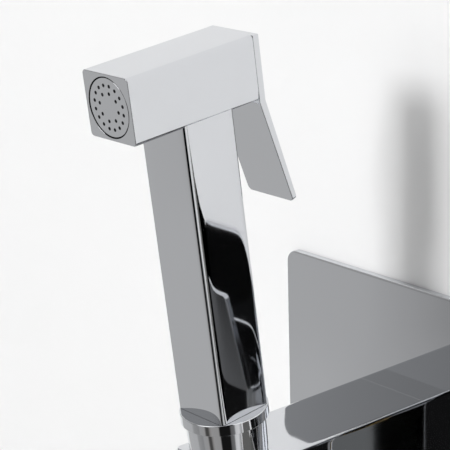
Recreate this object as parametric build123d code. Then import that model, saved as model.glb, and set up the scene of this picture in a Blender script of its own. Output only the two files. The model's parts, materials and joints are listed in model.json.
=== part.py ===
from build123d import *
import math
import os

# Bidet shower mixer: a square hand shower in a holder bar on a wall plate, with a lever mixer beside it.
# Row frame: X along the wall, Y into the wall, Z up. The origin is the centre of the wall plate's back.
# All sizes are millimetres and degrees.

# Fits and clearances
running = 0.06          # radial gap of a pin or stem that turns or slides in its bore
slip = 0.1              # radial gap of pieces that are pushed together by hand
soft_gap = 0.05         # gap around threads and around a soft seal in its groove
seat_gap = 0.1          # gap between the hose nut and its liner
lever_gap = 0.3         # gap between the thumb lever and the head
fork_slack = 0.45       # play of the lever's fork on the valve stem, each way
joint_line = 0.25       # small chamfer that shows where two square pieces meet
past = 1.0              # how far a cut runs past a face that it opens, or a boss into its body

# Hand shower
head_width = 20.0
head_height = 19.2
head_length = 45.8
head_overhang = 26.4    # from the handle's axis to the spray end
head_round = 1.0
head_rear_round = 0.4
handle_depth = 18.2
handle_length = 93.8
handle_round = 1.1
handle_bore = 4.5
lean = 6.66             # the hand shower leans away from the wall by this angle

# Spray end
spray_bore = 8.95
spray_bore_depth = 9.0
spray_rim = 8.7
spray_front_wall = 1.6
spray_inset = 0.15
spray_back_gap = 1.0
cup_bore = 7.4
ledge_bore = 6.95
ledge_height = 2.05
diffuser_thickness = 1.2
diffuser_hole = 0.8
nozzle_bore = 0.38
nozzle_rows = ((6.4, 16), (4.15, 8))
diffuser_rows = ((4.8, 10), (2.2, 4))
spray_chamber = 7.5
spray_chamber_depth = 6.0
passage_bore = 3.5
passage_length = 6.0

# Valve in the head
valve_chamber = 6.0
valve_chamber_length = 12.8
seat_thickness = 2.0
seat_lip_width = 0.7
seat_lip_height = 0.5
stem_radius = 1.5
poppet_radius = 5.4
poppet_rim = 0.5
poppet_rim_short = 0.35
poppet_back = 1.8
poppet_seal_thickness = 1.55
neck_radius = 1.0
button_radius = 2.2
button_thickness = 1.0
gland_radius = 7.2
gland_length = 6.0
gland_groove_place = 1.65
gland_groove_width = 1.3
gland_seal_wire = 0.5
stem_groove_place = 3.25
stem_seal_wire = 0.55
spring_pocket_depth = 1.6
spanner_hole = 0.9
spanner_hole_place = 5.0
spanner_hole_depth = 2.0
valve_spring_radius = 2.9
valve_spring_turns = 6
spring_wire = 0.35

# Rear pocket and thumb lever
pocket_width = 16.0
pocket_top_wall = 2.1
pocket_floor_wall = 1.1
lever_thickness = 2.2
lever_bend_drop = 0.7
lever_leg = 34.6
lever_flare = 14.1
lever_corner = 1.4
lever_press = 8.0
relief_width = 0.6
relief_top = 0.6
pivot_height = 3.2      # pivot above the head's underside
pivot_depth = 2.4       # pivot inside the head's rear face
pivot_pin = 0.9
pivot_ear = 1.75
ear_thickness = 1.6
ear_base = 1.0
ear_base_width = 14.6
ear_base_top = 1.6
ear_screw = 0.8
ear_screw_place = 5.9
ear_screw_length = 3.0
ear_screw_head = 1.2
ear_screw_head_height = 0.6
tongue_width = 4.0
tongue_drop = 1.3
fork_place = 1.45
fork_web = 1.0
fork_width = 8.4
fork_inner = 5.4
fork_height = 6.0
fork_slot_gap = 0.4

# Neck, collar, spigot and hose nut
neck_nipple_radius = 6.0
neck_nipple_bore = 4.0
neck_nipple_in_handle = 9.0
neck_seal_depth = 1.8
neck_seal_radius = 8.0
collar_radius = 13.65
collar_height = 3.5
collar_chamfer = 0.35
spigot_stem = 7.0
spigot_stem_length = 12.0
spigot_flange = 11.6
spigot_flange_height = 1.1
spigot_bore = 4.5
hose_thread = 10.48     # outside radius of a half-inch pipe thread
hose_thread_length = 10.4
nut_radius = 12.4
nut_shoulder_radius = 12.2
nut_tip_radius = 9.6
nut_straight = 9.4
nut_length = 32.0
nut_tip_round = 0.8
nut_top_chamfer = 0.3
hose_bore = 7.5
washer_thickness = 2.0
mesh_hole = 0.6
mesh_pitch = 1.9
mesh_reach = 2          # mesh holes on each side of the middle one

# Holder bar
bar_width = 29.2
bar_drop = 15.95        # from the collar's top face to the bar's top face
bar_reach = 85.0        # from the plate's front to the hand shower's axis at the collar's top face
bar_tip = 8.0           # bar beyond that point
bar_round = 0.9
bar_tip_round = 2.0
sleeve_length = 11.8
slot_width = 15.0
liner_thickness = 0.6
liner_drop = 1.2
supply_bore = 10.5
supply_depth = 13.6
supply_end_gap = 0.3
supply_water = 6.0
supply_groove_place = 2.0
supply_groove_pitch = 3.0
supply_groove_depth = 1.5
supply_groove_half = 0.9
supply_seal_wire = 0.7
sleeve_gap = 0.5
water_bore = 5.0
outlet_from_wall = 38.0
outlet_stem = 8.3
outlet_stem_depth = 10.0
outlet_stem_gap = 1.0
outlet_flange = 12.0
outlet_flange_height = 2.0
outlet_length = 11.0
outlet_groove_width = 1.9
outlet_seal_wire = 0.6
grub_radius = 2.5
grub_from_joint = 4.5
grub_bite = 1.0
grub_sunk = 0.4
key_width = 2.5
key_depth = 1.6

# Wall plate
plate_width = 198.0
plate_height = 94.0
plate_thickness = 2.6
plate_corner = 4.0
plate_edge = 0.5
plate_supply_gap = 1.5
plate_control_gap = 0.5
gasket_thickness = 1.0
gasket_border = 3.0
gasket_corner = 3.0
gasket_hole_gap = 0.5
bar_from_control = 72.0

# Control, measured outwards from the wall along its own axis
trim_width = 52.0
trim_depth = 24.0
trim_bore_gap = 1.0
trim_front = 4.0
trim_round = 1.2
trim_grub_place = 5.4
body_neck_wall = 2.6
body_neck_out = 20.5
trim_groove_place = 4.0
trim_groove_depth = 1.9
trim_groove_half = 1.0
trim_seal_wire = 0.9
pivot_out = 22.0
dome_radius = 9.0
dome_wall = 1.0
dome_gap = 0.6
dome_rim = 1.1
dome_neck = 5.0
hub_width = 22.0
hub_depth = 9.0
hub_gap = 0.4
hub_front_wall = 1.9
hub_screw_radius = 2.0
cap_radius = 3.0
cap_height = 1.0
cap_gap = 0.2
control_bend = 1.0
control_leg = 38.0
control_tilt = 17.0

# Cartridge
cartridge_radius = 17.3
cartridge_bore = 14.2
cartridge_seat = -16.0
cartridge_top = 16.0
base_thickness = 4.0
port_seal_space = 2.0
port_seal_depth = 1.0
disc_thickness = 3.0
fixed_disc_radius = 14.0
disc_port_step = 0.5
moving_disc_radius = 9.0
moving_disc_thickness = 2.5
mixing_hollow = 6.0
mixing_hollow_depth = 1.25
housing_roof = 4.0
bush_flange = 11.5
bush_flange_height = 3.4
bush_neck = 7.0
bush_neck_top = 25.2
bush_slot_step = 6.0
bush_slot_gap = 0.45
lug_inner = 5.4
lug_outer = 7.0
lug_length = 5.0
lug_height = 1.8
carrier_gap = 0.2
ball_gap = 0.15
spindle_width = 5.6
spindle_ball = 2.6
spindle_neck = 1.75
ball_arm = 15.5
ball_neck = 5.0
pin_radius = 1.25
pin_end_gap = 0.2
cartridge_nut_height = 4.5
cartridge_nut_step = 1.1
cartridge_nut_hole = 10.0
nut_spanner_hole = 1.5
nut_spanner_circle = 14.2
nut_spanner_depth = 2.5
port_circle = 9.5
port_spread = 6.0
port_radius = 3.0
outlet_port_radius = 3.5
outlet_port_height = 5.0

# Body behind the wall
body_radius = 26.0
body_back = -46.0
inlet_spread = 20.0
inlet_depth = -34.0
inlet_boss = 13.5
inlet_boss_top = -13.0
riser_boss = 8.5
riser_boss_top = -5.0
riser_top = -6.0
riser_bore = 5.0
inlet_length = 46.0
inlet_bore = 9.3        # inside radius of a half-inch pipe thread
inlet_bore_length = 16.0
strainer_radius = 8.3
strainer_thickness = 1.2
strainer_hole = 0.7
strainer_rows = ((2.0, 6), (4.2, 12), (6.4, 18))
check_bore = 7.5
check_length = 13.0
check_wall = 1.6
check_seat_wall = 3.6
check_end = 2.0
check_disc_gap = 0.6
check_disc_thickness = 1.6
check_stem = 1.2
check_way = 1.3
check_way_circle = 3.7
check_spring_radius = 2.4
check_spring_turns = 5
outlet_depth = -23.0
outlet_bore = 5.0
union_thread = 10.4
union_thread_length = 12.0
union_boss_step = 1.0
union_nut_across = 24.0
union_nut_length = 11.7
union_nut_lip = 1.7
union_washer = 1.5
tube_radius = 6.5
tube_flange = 8.6
tube_flange_width = 2.0
elbow_radius = 14.0
elbow_depth = 30.0
elbow_flange = 18.0
elbow_flange_depth = 4.0
elbow_flat = 14.5       # flat on the flange beside the union nut
elbow_socket = 10.0
elbow_arm = 8.0
elbow_screw_inset = 3.4
body_screw_inset = 2.3
bracket_thickness = 3.0
bracket_front = 3.5     # from the wall's face back into the recess
bracket_height = 68.0
bracket_side = 30.0
bracket_far_side = 36.0
bracket_corner = 4.0
wall_hole = 2.75
wall_hole_inset = 7.0
cap_screw = 1.2
cap_screw_head = 2.2
cap_screw_head_height = 1.3
cap_screw_key = 2.0
cap_screw_bite = 3.6

# Places worked out from the sizes above
bar_x = -bar_from_control / 2
control_x = bar_from_control / 2
half_bar = bar_width / 2
plate_front = -plate_thickness
axis_y = plate_front - bar_reach
tip_y = axis_y - bar_tip
joint_y = plate_front - sleeve_length
grub_y = joint_y - grub_from_joint
collar_z = half_bar + bar_drop
slot_back = axis_y + bar_drop * math.tan(math.radians(lean))
bracket_back = bracket_front + bracket_thickness
body_front = -bracket_back
spray_y = -head_overhang
head_back = head_length - head_overhang
head_base = handle_length
head_axis = head_base + head_height / 2
lever_inner = head_back + lever_gap
pivot_y = head_back - pivot_depth
pivot_z = head_base + pivot_height
valve_front = spray_y + spray_bore_depth + spray_chamber_depth + passage_length
gland_front = valve_front + valve_chamber_length
pocket_front = gland_front + gland_length
poppet_face = valve_front + seat_thickness + seat_lip_height + soft_gap
poppet_plate = poppet_face + poppet_seal_thickness
fork_low = pocket_front + fork_place
flange_low = -collar_height - spigot_flange_height
thread_low = flange_low - hose_thread_length
ear_inner = tongue_width / 2 + slip
ear_outer = ear_inner + ear_thickness
housing_low = cartridge_seat + base_thickness
cartridge_nut_radius = cartridge_radius + cartridge_nut_step
body_neck = cartridge_nut_radius + body_neck_wall
trim_bore = body_neck + trim_bore_gap
moving_low = housing_low + disc_thickness
carrier_low = moving_low + moving_disc_thickness
bush_low = cartridge_top - housing_roof - bush_flange_height
ball_out = pivot_out - ball_arm
hub_low = pivot_out + dome_radius + hub_gap
hub_middle = hub_low + hub_depth / 2
trim_groove = body_neck_out - trim_groove_place
trim_grub_out = plate_thickness + trim_grub_place
strainer_low = -inlet_length + inlet_bore_length
check_low = strainer_low + strainer_thickness
check_high = check_low + check_length
union_right = control_x - body_radius - union_thread_length
union_left = bar_x + elbow_radius + elbow_arm
union_at = (-outlet_depth, 0)
supply_grooves = [joint_y - supply_depth + supply_groove_place + i * supply_groove_pitch for i in (0, 1)]
ports = [(side * port_spread, -port_circle, port_radius) for side in (-1, 1)]
ports.append((0, outlet_port_height, outlet_port_radius))
stroke = math.radians(lever_press) * (head_axis - pivot_z)

in_hand = Pos(bar_x, axis_y, collar_z) * Rot(lean, 0, 0)
in_control = Pos(control_x, 0, 0) * Rot(90, 0, 0)
in_bar = Pos(bar_x, 0, 0)
in_row = Pos(0, 0, 0)
turns_to = {"x": Rot(0, 90, 0), "y": Rot(-90, 0, 0), "z": Rot(0, 0, 0)}


def block(x, y, z):
    """Box between three (low, high) pairs."""
    size = [high - low for low, high in (x, y, z)]
    middle = [(high + low) / 2 for low, high in (x, y, z)]
    return Pos(*middle) * Box(*size)


def placed(solid, along, distance, at):
    """Lays a solid made along Z along another axis, at a distance on it and beside it."""
    a, b = at
    spot = {"x": (distance, a, b), "y": (a, distance, b), "z": (a, b, distance)}[along]
    return Pos(*spot) * turns_to[along] * solid


def rod(radius, low, high, along="z", at=(0, 0)):
    """Round bar from low to high along an axis."""
    return placed(Cylinder(radius, high - low), along, (low + high) / 2, at)


def ring(outer, inner, low, high, along="z", at=(0, 0)):
    """Flat-ended tube."""
    return rod(outer, low, high, along, at) - rod(inner, low, high, along, at)


def seal_ring(outer, wire, place, along="z", at=(0, 0)):
    """Round-section seal ring of an outer radius and a section radius, centred at a place."""
    return placed(Torus(outer - wire, wire), along, place, at)


def coil(radius, low, high, turns, at):
    """Compression spring along Y between two seats."""
    length = high - low - 2 * (spring_wire + soft_gap)
    path = Helix(length / turns, length, radius)
    wound = sweep(Plane(origin=path @ 0, z_dir=path % 0) * Circle(spring_wire), path=path)
    return placed(wound, "y", low + spring_wire + soft_gap, at)


def key_socket(width, depth):
    """Hexagonal hole for a key, open at height 0."""
    return extrude(RegularPolygon(width / 2, 6, major_radius=False), amount=depth)


def circle_of(radius, count, start=0.0):
    """Points spaced evenly on a circle."""
    steps = [math.radians(start + 360 * i / count) for i in range(count)]
    return [(radius * math.cos(a), radius * math.sin(a)) for a in steps]


def rows_of(rows, start=0.0):
    """Points of several circles, each given as a radius and a count."""
    return [point for radius, count in rows for point in circle_of(radius, count, start)]


def both_sides(low, high):
    """Low and high of the same stretch on the left and on the right."""
    return ((-high, -low), (low, high))


def rounded(solid, radius, along):
    """Fillets the edges that run along an axis."""
    return fillet(solid.edges().filter_by(along), radius)


def in_head(radius, low, high, x=0.0, z=0.0):
    """Round bar along the head's axis, or beside it."""
    return rod(radius, low, high, "y", (x, head_axis + z))


def plate_in_profile(points, width):
    """Plate of a width along X from its outline in Y and Z."""
    outline = Polyline(*points, close=True)
    return extrude(Plane.YZ * make_face(outline), amount=width / 2, both=True)


def nut_outline(gap=0.0):
    """Outer shape of the hose nut grown by a gap all round."""
    shoulder = flange_low - nut_straight
    bottom = flange_low - nut_length
    straight = Cone(nut_shoulder_radius + gap, nut_radius + gap, nut_straight)
    tip = Cone(nut_tip_radius + gap, nut_shoulder_radius + gap, shoulder - bottom)
    return Pos(0, 0, (shoulder + flange_low) / 2) * straight + Pos(0, 0, (bottom + shoulder) / 2) * tip


elbow_screws = circle_of(elbow_flange - elbow_screw_inset, 2, 90)
body_screws = circle_of(body_radius - body_screw_inset, 4, 45)
bracket_screw_places = [(bar_x + x, z) for x, z in elbow_screws]
bracket_screw_places += [(control_x + x, z) for x, z in body_screws]


# Hand shower, built upright about its handle's axis with the collar's top face at height 0

def head_body():
    """Square head with its spray bore, waterway, valve chamber and rear pocket."""
    half = head_width / 2
    head = block((-half, half), (spray_y, head_back), (head_base, head_base + head_height))
    rear = head.faces().sort_by(Axis.Y)[-1].edges()
    head = fillet([edge for edge in head.edges() if edge not in rear], head_round)
    head = fillet(head.faces().sort_by(Axis.Y)[-1].edges(), head_rear_round)
    steps = (
        (spray_bore, spray_bore_depth),
        (spray_chamber, spray_chamber_depth),
        (passage_bore, passage_length),
        (valve_chamber, valve_chamber_length),
        (gland_radius, gland_length),
    )
    low = spray_y
    for radius, length in steps:
        head -= in_head(radius, low, low + length)
        low += length
    pocket_z = (head_base + pocket_floor_wall, head_base + head_height - pocket_top_wall)
    head -= block((-pocket_width / 2, pocket_width / 2), (pocket_front, head_back + past), pocket_z)
    head -= rod(neck_nipple_radius, head_base, head_axis - valve_chamber / 2)
    relief = (
        (head_back - relief_width, head_base - past),
        (head_back + past, head_base - past),
        (head_back + past, pivot_z - relief_top),
        (head_back, pivot_z - relief_top),
        (head_back - relief_width, head_base),
    )
    head -= plate_in_profile(relief, head_width)
    for x in (-ear_screw_place, ear_screw_place):
        head -= rod(ear_screw, pocket_front - ear_screw_length, pocket_front, "y", (x, pivot_z))
    return head


def spray_face():
    """Cup that carries the spray holes."""
    front = spray_y + spray_inset
    back = spray_y + spray_bore_depth - spray_back_gap
    floor = front + spray_front_wall
    cup = in_head(spray_rim, front, back)
    cup -= in_head(ledge_bore, floor, back)
    cup -= in_head(cup_bore, floor + ledge_height, back)
    for x, z in rows_of(nozzle_rows, 90):
        cup -= in_head(nozzle_bore, front, floor, x, z)
    return cup


def spray_seal():
    """Ring seal between the spray face and the bottom of its bore."""
    wire = spray_back_gap / 2 - soft_gap
    place = spray_y + spray_bore_depth - spray_back_gap / 2
    return seal_ring(spray_bore - soft_gap, wire, place, "y", (0, head_axis))


def flow_diffuser():
    """Holed disc that spreads the water behind the spray face."""
    low = spray_y + spray_inset + spray_front_wall + ledge_height
    high = low + diffuser_thickness
    disc = in_head(cup_bore - slip, low, high)
    for x, z in rows_of(diffuser_rows):
        disc -= in_head(diffuser_hole, low, high, x, z)
    return disc


def valve_seat():
    """Insert with a raised lip that the poppet closes on."""
    high = valve_front + seat_thickness
    seat = in_head(valve_chamber - soft_gap, valve_front, high)
    seat += in_head(passage_bore + seat_lip_width, high, high + seat_lip_height)
    return seat - in_head(passage_bore, valve_front, high + seat_lip_height)


def valve_stem():
    """Poppet and stem in one, with the neck and button that the lever's fork pulls."""
    neck_low = fork_low - fork_slack
    button_low = fork_low + fork_web + fork_slack
    stem = in_head(poppet_radius, poppet_face + poppet_rim_short, poppet_plate + poppet_back)
    stem -= in_head(poppet_radius - poppet_rim, poppet_face, poppet_plate)
    stem += in_head(stem_radius, poppet_plate, neck_low)
    stem += in_head(neck_radius, neck_low, button_low)
    return stem + in_head(button_radius, button_low, button_low + button_thickness)


def poppet_seal():
    """Rubber disc carried by the poppet."""
    return in_head(poppet_radius - poppet_rim, poppet_face, poppet_plate)


def valve_spring():
    """Coil spring that closes the poppet."""
    low = poppet_plate + poppet_back
    high = gland_front + spring_pocket_depth
    return coil(valve_spring_radius, low, high, valve_spring_turns, (0, head_axis))


def valve_gland():
    """Threaded plug that closes the valve chamber and guides the stem."""
    high = gland_front + gland_length
    gland = in_head(gland_radius - soft_gap, gland_front, high)
    gland -= in_head(stem_radius + running, gland_front, high)
    spring_pocket = valve_spring_radius + spring_wire + slip
    gland -= in_head(spring_pocket, gland_front, gland_front + spring_pocket_depth)
    stem_groove = gland_front + stem_groove_place
    reach = stem_seal_wire + soft_gap
    gland -= in_head(stem_radius + 2 * reach, stem_groove - reach, stem_groove + reach)
    outer_low = gland_front + gland_groove_place - gland_groove_width / 2
    outer_high = outer_low + gland_groove_width
    inner = gland_radius - 2 * (gland_seal_wire + soft_gap)
    gland -= in_head(gland_radius, outer_low, outer_high) - in_head(inner, outer_low, outer_high)
    for x in (-spanner_hole_place, spanner_hole_place):
        gland -= in_head(spanner_hole, high - spanner_hole_depth, high, x)
    return gland


def gland_seals():
    """Ring seals around the gland and around the stem inside it."""
    at = (0, head_axis)
    outer = seal_ring(gland_radius - soft_gap, gland_seal_wire, gland_front + gland_groove_place, "y", at)
    stem_outer = stem_radius + 2 * stem_seal_wire + 1.5 * soft_gap
    inner = seal_ring(stem_outer, stem_seal_wire, gland_front + stem_groove_place, "y", at)
    return [outer, inner]


def lever_bracket():
    """Two ears on a base plate that hold the lever's pin inside the rear pocket."""
    half = ear_base_width / 2
    base_y = (pocket_front, pocket_front + ear_base)
    bracket = block((-half, half), base_y, (pivot_z - pivot_ear, pivot_z + ear_base_top))
    for x in both_sides(ear_inner, ear_outer):
        bracket += rod(pivot_ear, *x, "x", (pivot_y, pivot_z))
        bracket += block(x, (pocket_front, pivot_y), (pivot_z - pivot_ear, pivot_z + pivot_ear))
    for x in (-ear_screw_place, ear_screw_place):
        bracket -= rod(ear_screw + soft_gap, *base_y, "y", (x, pivot_z))
    return bracket - rod(pivot_pin + soft_gap, -half, half, "x", (pivot_y, pivot_z))


def lever_bracket_screws():
    """Two screws that hold the lever's bracket."""
    screws = []
    seat = pocket_front + ear_base
    for x in (-ear_screw_place, ear_screw_place):
        screw = rod(ear_screw, pocket_front - ear_screw_length, seat, "y", (x, pivot_z))
        screws.append(screw + rod(ear_screw_head, seat, seat + ear_screw_head_height, "y", (x, pivot_z)))
    return screws


def lever_pin():
    """Hinge pin of the thumb lever."""
    return rod(pivot_pin, -ear_outer, ear_outer, "x", (pivot_y, pivot_z))


def bent_lever(width, start, inner, bend, leg):
    """Flat lever in profile: straight from start down to bend, then a leg that flares outwards."""
    flare = math.radians(lever_flare)
    outer = inner + lever_thickness
    tip = bend - leg * math.cos(flare)
    tip_outer = outer + leg * math.sin(flare)
    points = (
        (inner, start),
        (outer, start),
        (outer, bend),
        (tip_outer, tip),
        (tip_outer - lever_thickness * math.cos(flare), tip - lever_thickness * math.sin(flare)),
        (inner, bend - lever_thickness * math.tan(flare / 2)),
    )
    plate = plate_in_profile(points, width)
    short = [edge for edge in plate.edges() if edge.length < lever_thickness + soft_gap]
    tips = [edge for edge in short if edge.center().Z < bend]
    return fillet(tips, lever_corner)


def thumb_lever():
    """Bent flat lever with a tongue on the pin and a fork around the valve stem's neck."""
    start = head_base + head_height
    lever = bent_lever(head_width, start, lever_inner, head_base - lever_bend_drop, lever_leg)
    tongue_x = (-tongue_width / 2, tongue_width / 2)
    root = lever_inner + lever_thickness / 2
    lever += block(tongue_x, (pivot_y, root), (pivot_z - tongue_drop, pivot_z + pivot_ear))
    lever += rod(pivot_ear, *tongue_x, "x", (pivot_y, pivot_z))
    fork_z = (head_axis - fork_height / 2, head_axis + fork_height / 2)
    web_high = fork_low + fork_web
    fork = block((-fork_width / 2, fork_width / 2), (fork_low, root), fork_z)
    fork -= block((-fork_inner / 2, fork_inner / 2), (web_high, lever_inner), fork_z)
    slot = neck_radius + fork_slot_gap
    fork -= block((-slot, slot), (fork_low, web_high), (fork_z[0], head_axis))
    fork -= in_head(slot, fork_low, web_high)
    lever += fork
    return lever - rod(pivot_pin + running, *tongue_x, "x", (pivot_y, pivot_z))


def neck_nipple():
    """Hollow threaded stud that joins head and handle."""
    high = head_axis - valve_chamber - soft_gap
    return ring(neck_nipple_radius, neck_nipple_bore, head_base - neck_nipple_in_handle, high)


def neck_seal():
    """Flat seal around the stud at the joint of head and handle."""
    low = head_base - neck_seal_depth + soft_gap
    return ring(neck_seal_radius - soft_gap, neck_nipple_radius + soft_gap, low, head_base - soft_gap)


def handle_body():
    """Square handle with its waterway."""
    half = head_width / 2
    deep = handle_depth / 2
    handle = block((-half, half), (-deep, deep), (0, handle_length))
    handle = rounded(handle, handle_round, Axis.Z)
    handle = chamfer(handle.faces().sort_by(Axis.Z)[-1].edges(), joint_line)
    handle -= rod(handle_bore, 0, handle_length)
    handle -= rod(neck_nipple_radius, handle_length - neck_nipple_in_handle, handle_length)
    handle -= rod(neck_seal_radius, handle_length - neck_seal_depth, handle_length)
    return handle - rod(spigot_stem, 0, spigot_stem_length)


def handle_collar():
    """Round collar under the handle."""
    collar = rod(collar_radius, -collar_height, 0)
    collar = chamfer(collar.edges().filter_by(GeomType.CIRCLE), collar_chamfer)
    return collar - rod(spigot_stem, -collar_height, 0)


def inlet_spigot():
    """Hollow spigot with the hose thread, screwed into the handle through the collar."""
    spigot = rod(spigot_stem, -collar_height, spigot_stem_length)
    spigot += rod(spigot_flange, flange_low, -collar_height)
    spigot += rod(hose_thread, thread_low, flange_low)
    return spigot - rod(spigot_bore, thread_low, spigot_stem_length)


def strainer_washer():
    """Seal washer with a strainer, between spigot and nut."""
    low = thread_low - washer_thickness
    high = thread_low - soft_gap
    washer = rod(hose_thread - slip, low, high)
    steps = range(-mesh_reach, mesh_reach + 1)
    for x, y in [(mesh_pitch * i, mesh_pitch * j) for i in steps for j in steps]:
        washer -= rod(mesh_hole, low, high, "z", (x, y))
    return washer


def hose_nut():
    """Hose nut, straight where it shows and tapered where it stands in the holder."""
    inside = thread_low - washer_thickness
    nut = nut_outline()
    nut = fillet(nut.faces().sort_by(Axis.Z)[0].edges(), nut_tip_round)
    nut = chamfer(nut.faces().sort_by(Axis.Z)[-1].edges(), nut_top_chamfer)
    nut -= rod(hose_thread + soft_gap, inside, flange_low)
    return nut - rod(hose_bore, flange_low - nut_length, inside)


# Holder bar and water outlet

def bar_slot():
    """Open front of the socket, which the hose passes through."""
    half = slot_width / 2
    return in_bar * block((-half, half), (tip_y - past, slot_back), (-half_bar, half_bar))


def lined(outline):
    """Part of an outline that lies in the lined stretch of the bar."""
    stretch = block((-half_bar, half_bar), (tip_y, joint_y), (-half_bar, half_bar - liner_drop))
    return outline & (in_bar * stretch)


def holder_bar():
    """Square bar with an open-fronted tapered socket, the waterway and the outlet hole."""
    bar = block((-half_bar, half_bar), (tip_y, joint_y), (-half_bar, half_bar))
    bar = rounded(bar, bar_round, Axis.Y)
    bar = chamfer(bar.faces().sort_by(Axis.Y)[-1].edges(), joint_line)
    bar = fillet(bar.edges().filter_by(Axis.Z).sort_by(Axis.Y)[:2], bar_tip_round)
    water = rod(water_bore, -outlet_from_wall - water_bore, joint_y, "y")
    water += rod(supply_bore, joint_y - supply_depth, joint_y, "y")
    outlet_at = (0, -outlet_from_wall)
    water += rod(outlet_stem, -half_bar, -half_bar + outlet_stem_depth, "z", outlet_at)
    water += rod(water_bore, -half_bar, 0, "z", outlet_at)
    water += rod(grub_radius + soft_gap, -half_bar, -supply_bore + past, "z", (0, grub_y))
    bar = in_bar * (bar - water)
    bar -= in_hand * nut_outline(2 * seat_gap)
    bar -= lined(in_hand * nut_outline(seat_gap + liner_thickness + soft_gap))
    tip_low = flange_low - nut_length
    bar -= in_hand * rod(nut_tip_radius + seat_gap + liner_thickness, tip_low - bar_width, tip_low)
    return bar - bar_slot()


def holder_liner():
    """Thin plastic lining of the socket, open at the front like the bar."""
    shell = nut_outline(seat_gap + liner_thickness) - nut_outline(seat_gap)
    return lined(in_hand * shell) - bar_slot()


def bar_sleeve():
    """Square sleeve between the bar and the wall plate."""
    sleeve = block((-half_bar, half_bar), (joint_y, plate_front), (-half_bar, half_bar))
    sleeve = rounded(sleeve, bar_round, Axis.Y)
    sleeve = chamfer(sleeve.faces().sort_by(Axis.Y)[0].edges(), joint_line)
    return in_bar * (sleeve - rod(supply_bore + sleeve_gap, joint_y, plate_front, "y"))


def supply_nipple():
    """Threaded tube from the elbow behind the wall into the bar, grooved for two seals."""
    front = joint_y - supply_depth + supply_end_gap
    back = bracket_back + elbow_socket
    nipple = rod(supply_bore - soft_gap, front, back, "y")
    for place in supply_grooves:
        low = place - supply_groove_half
        high = place + supply_groove_half
        nipple -= ring(supply_bore, supply_bore - supply_groove_depth, low, high, "y")
    nipple -= rod(grub_radius + slip, -supply_bore, -supply_bore + grub_bite + soft_gap, "z", (0, grub_y))
    return in_bar * (nipple - rod(supply_water, front, back, "y"))


def bar_seals():
    """Ring seals of the supply nipple and of the hose outlet."""
    outer = supply_bore - soft_gap
    seals = [seal_ring(outer, supply_seal_wire, place, "y") for place in supply_grooves]
    outlet_outer = outlet_stem + outlet_groove_width - soft_gap
    place = -half_bar - outlet_seal_wire - soft_gap
    seals.append(seal_ring(outlet_outer, outlet_seal_wire, place, "z", (0, -outlet_from_wall)))
    return [in_bar * seal for seal in seals]


def outlet_nipple():
    """Hose outlet under the bar."""
    at = (0, -outlet_from_wall)
    low = -half_bar - outlet_flange_height
    top = -half_bar + outlet_stem_depth - outlet_stem_gap
    nipple = rod(outlet_stem - soft_gap, -half_bar, top, "z", at)
    nipple += rod(outlet_flange, low, -half_bar, "z", at)
    nipple += rod(hose_thread, low - outlet_length, low, "z", at)
    nipple -= rod(water_bore, low - outlet_length, top, "z", at)
    groove = -half_bar - 2 * (outlet_seal_wire + soft_gap)
    outer = outlet_stem + outlet_groove_width
    return in_bar * (nipple - ring(outer, outlet_stem, groove, -half_bar, "z", at))


def grub_screws():
    """Grub screws that go up into the bar and into the trim block, with key holes at their lower ends."""
    bar_low = -half_bar + grub_sunk
    bar_screw = rod(grub_radius, bar_low, -supply_bore + grub_bite, "z", (0, grub_y))
    bar_screw -= placed(key_socket(key_width, key_depth), "z", bar_low, (0, grub_y))
    trim_low = -trim_width / 2 + grub_sunk
    at = (control_x, -trim_grub_out)
    trim_screw = rod(grub_radius, trim_low, -body_neck - soft_gap, "z", at)
    trim_screw -= placed(key_socket(key_width, key_depth), "z", trim_low, at)
    return [in_bar * bar_screw, trim_screw]


# Wall plate and gasket

def rounded_slab(border, low, high, corner):
    """Upright slab as large as the wall plate less a border, between two distances from the wall."""
    half_x = plate_width / 2 - border
    half_z = plate_height / 2 - border
    return rounded(block((-half_x, half_x), (low, high), (-half_z, half_z)), corner, Axis.Y)


def plate_holes(low, extra=0.0):
    """Holes of plate and gasket for the supply nipple and the control."""
    supply = in_bar * rod(supply_bore + plate_supply_gap + extra, low, 0, "y")
    return supply + Pos(control_x, 0, 0) * rod(body_neck + plate_control_gap + extra, low, 0, "y")


def wall_plate():
    """Front plate with rounded corners and a shallow recess for the gasket."""
    plate = rounded_slab(0, -plate_thickness, 0, plate_corner)
    plate = fillet(plate.faces().sort_by(Axis.Y)[0].edges(), plate_edge)
    plate -= rounded_slab(gasket_border, -gasket_thickness, 0, gasket_corner)
    return plate - plate_holes(-plate_thickness)


def plate_gasket():
    """Foam gasket in the plate's recess, level with the wall."""
    gasket = rounded_slab(gasket_border + soft_gap, -gasket_thickness, 0, gasket_corner)
    return gasket - plate_holes(-gasket_thickness, gasket_hole_gap)


# Control and cartridge, built with the axis along Z, the wall's face at height 0 and the room upwards

def trim_block():
    """Square cover over the mixer's neck."""
    half = trim_width / 2
    high = plate_thickness + trim_depth
    trim = block((-half, half), (-half, half), (plate_thickness, high))
    trim = fillet(trim.edges().filter_by(Axis.Z) + trim.faces().sort_by(Axis.Z)[-1].edges(), trim_round)
    trim -= rod(trim_bore, plate_thickness, high - trim_front)
    trim -= Pos(0, 0, pivot_out) * Sphere(dome_radius + dome_gap)
    return trim - rod(grub_radius + soft_gap, -half, -body_neck, "y", (0, trim_grub_out))


def trim_seal():
    """Ring seal between the mixer's neck and the trim block."""
    return seal_ring(trim_bore - soft_gap, trim_seal_wire, trim_groove)


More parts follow.
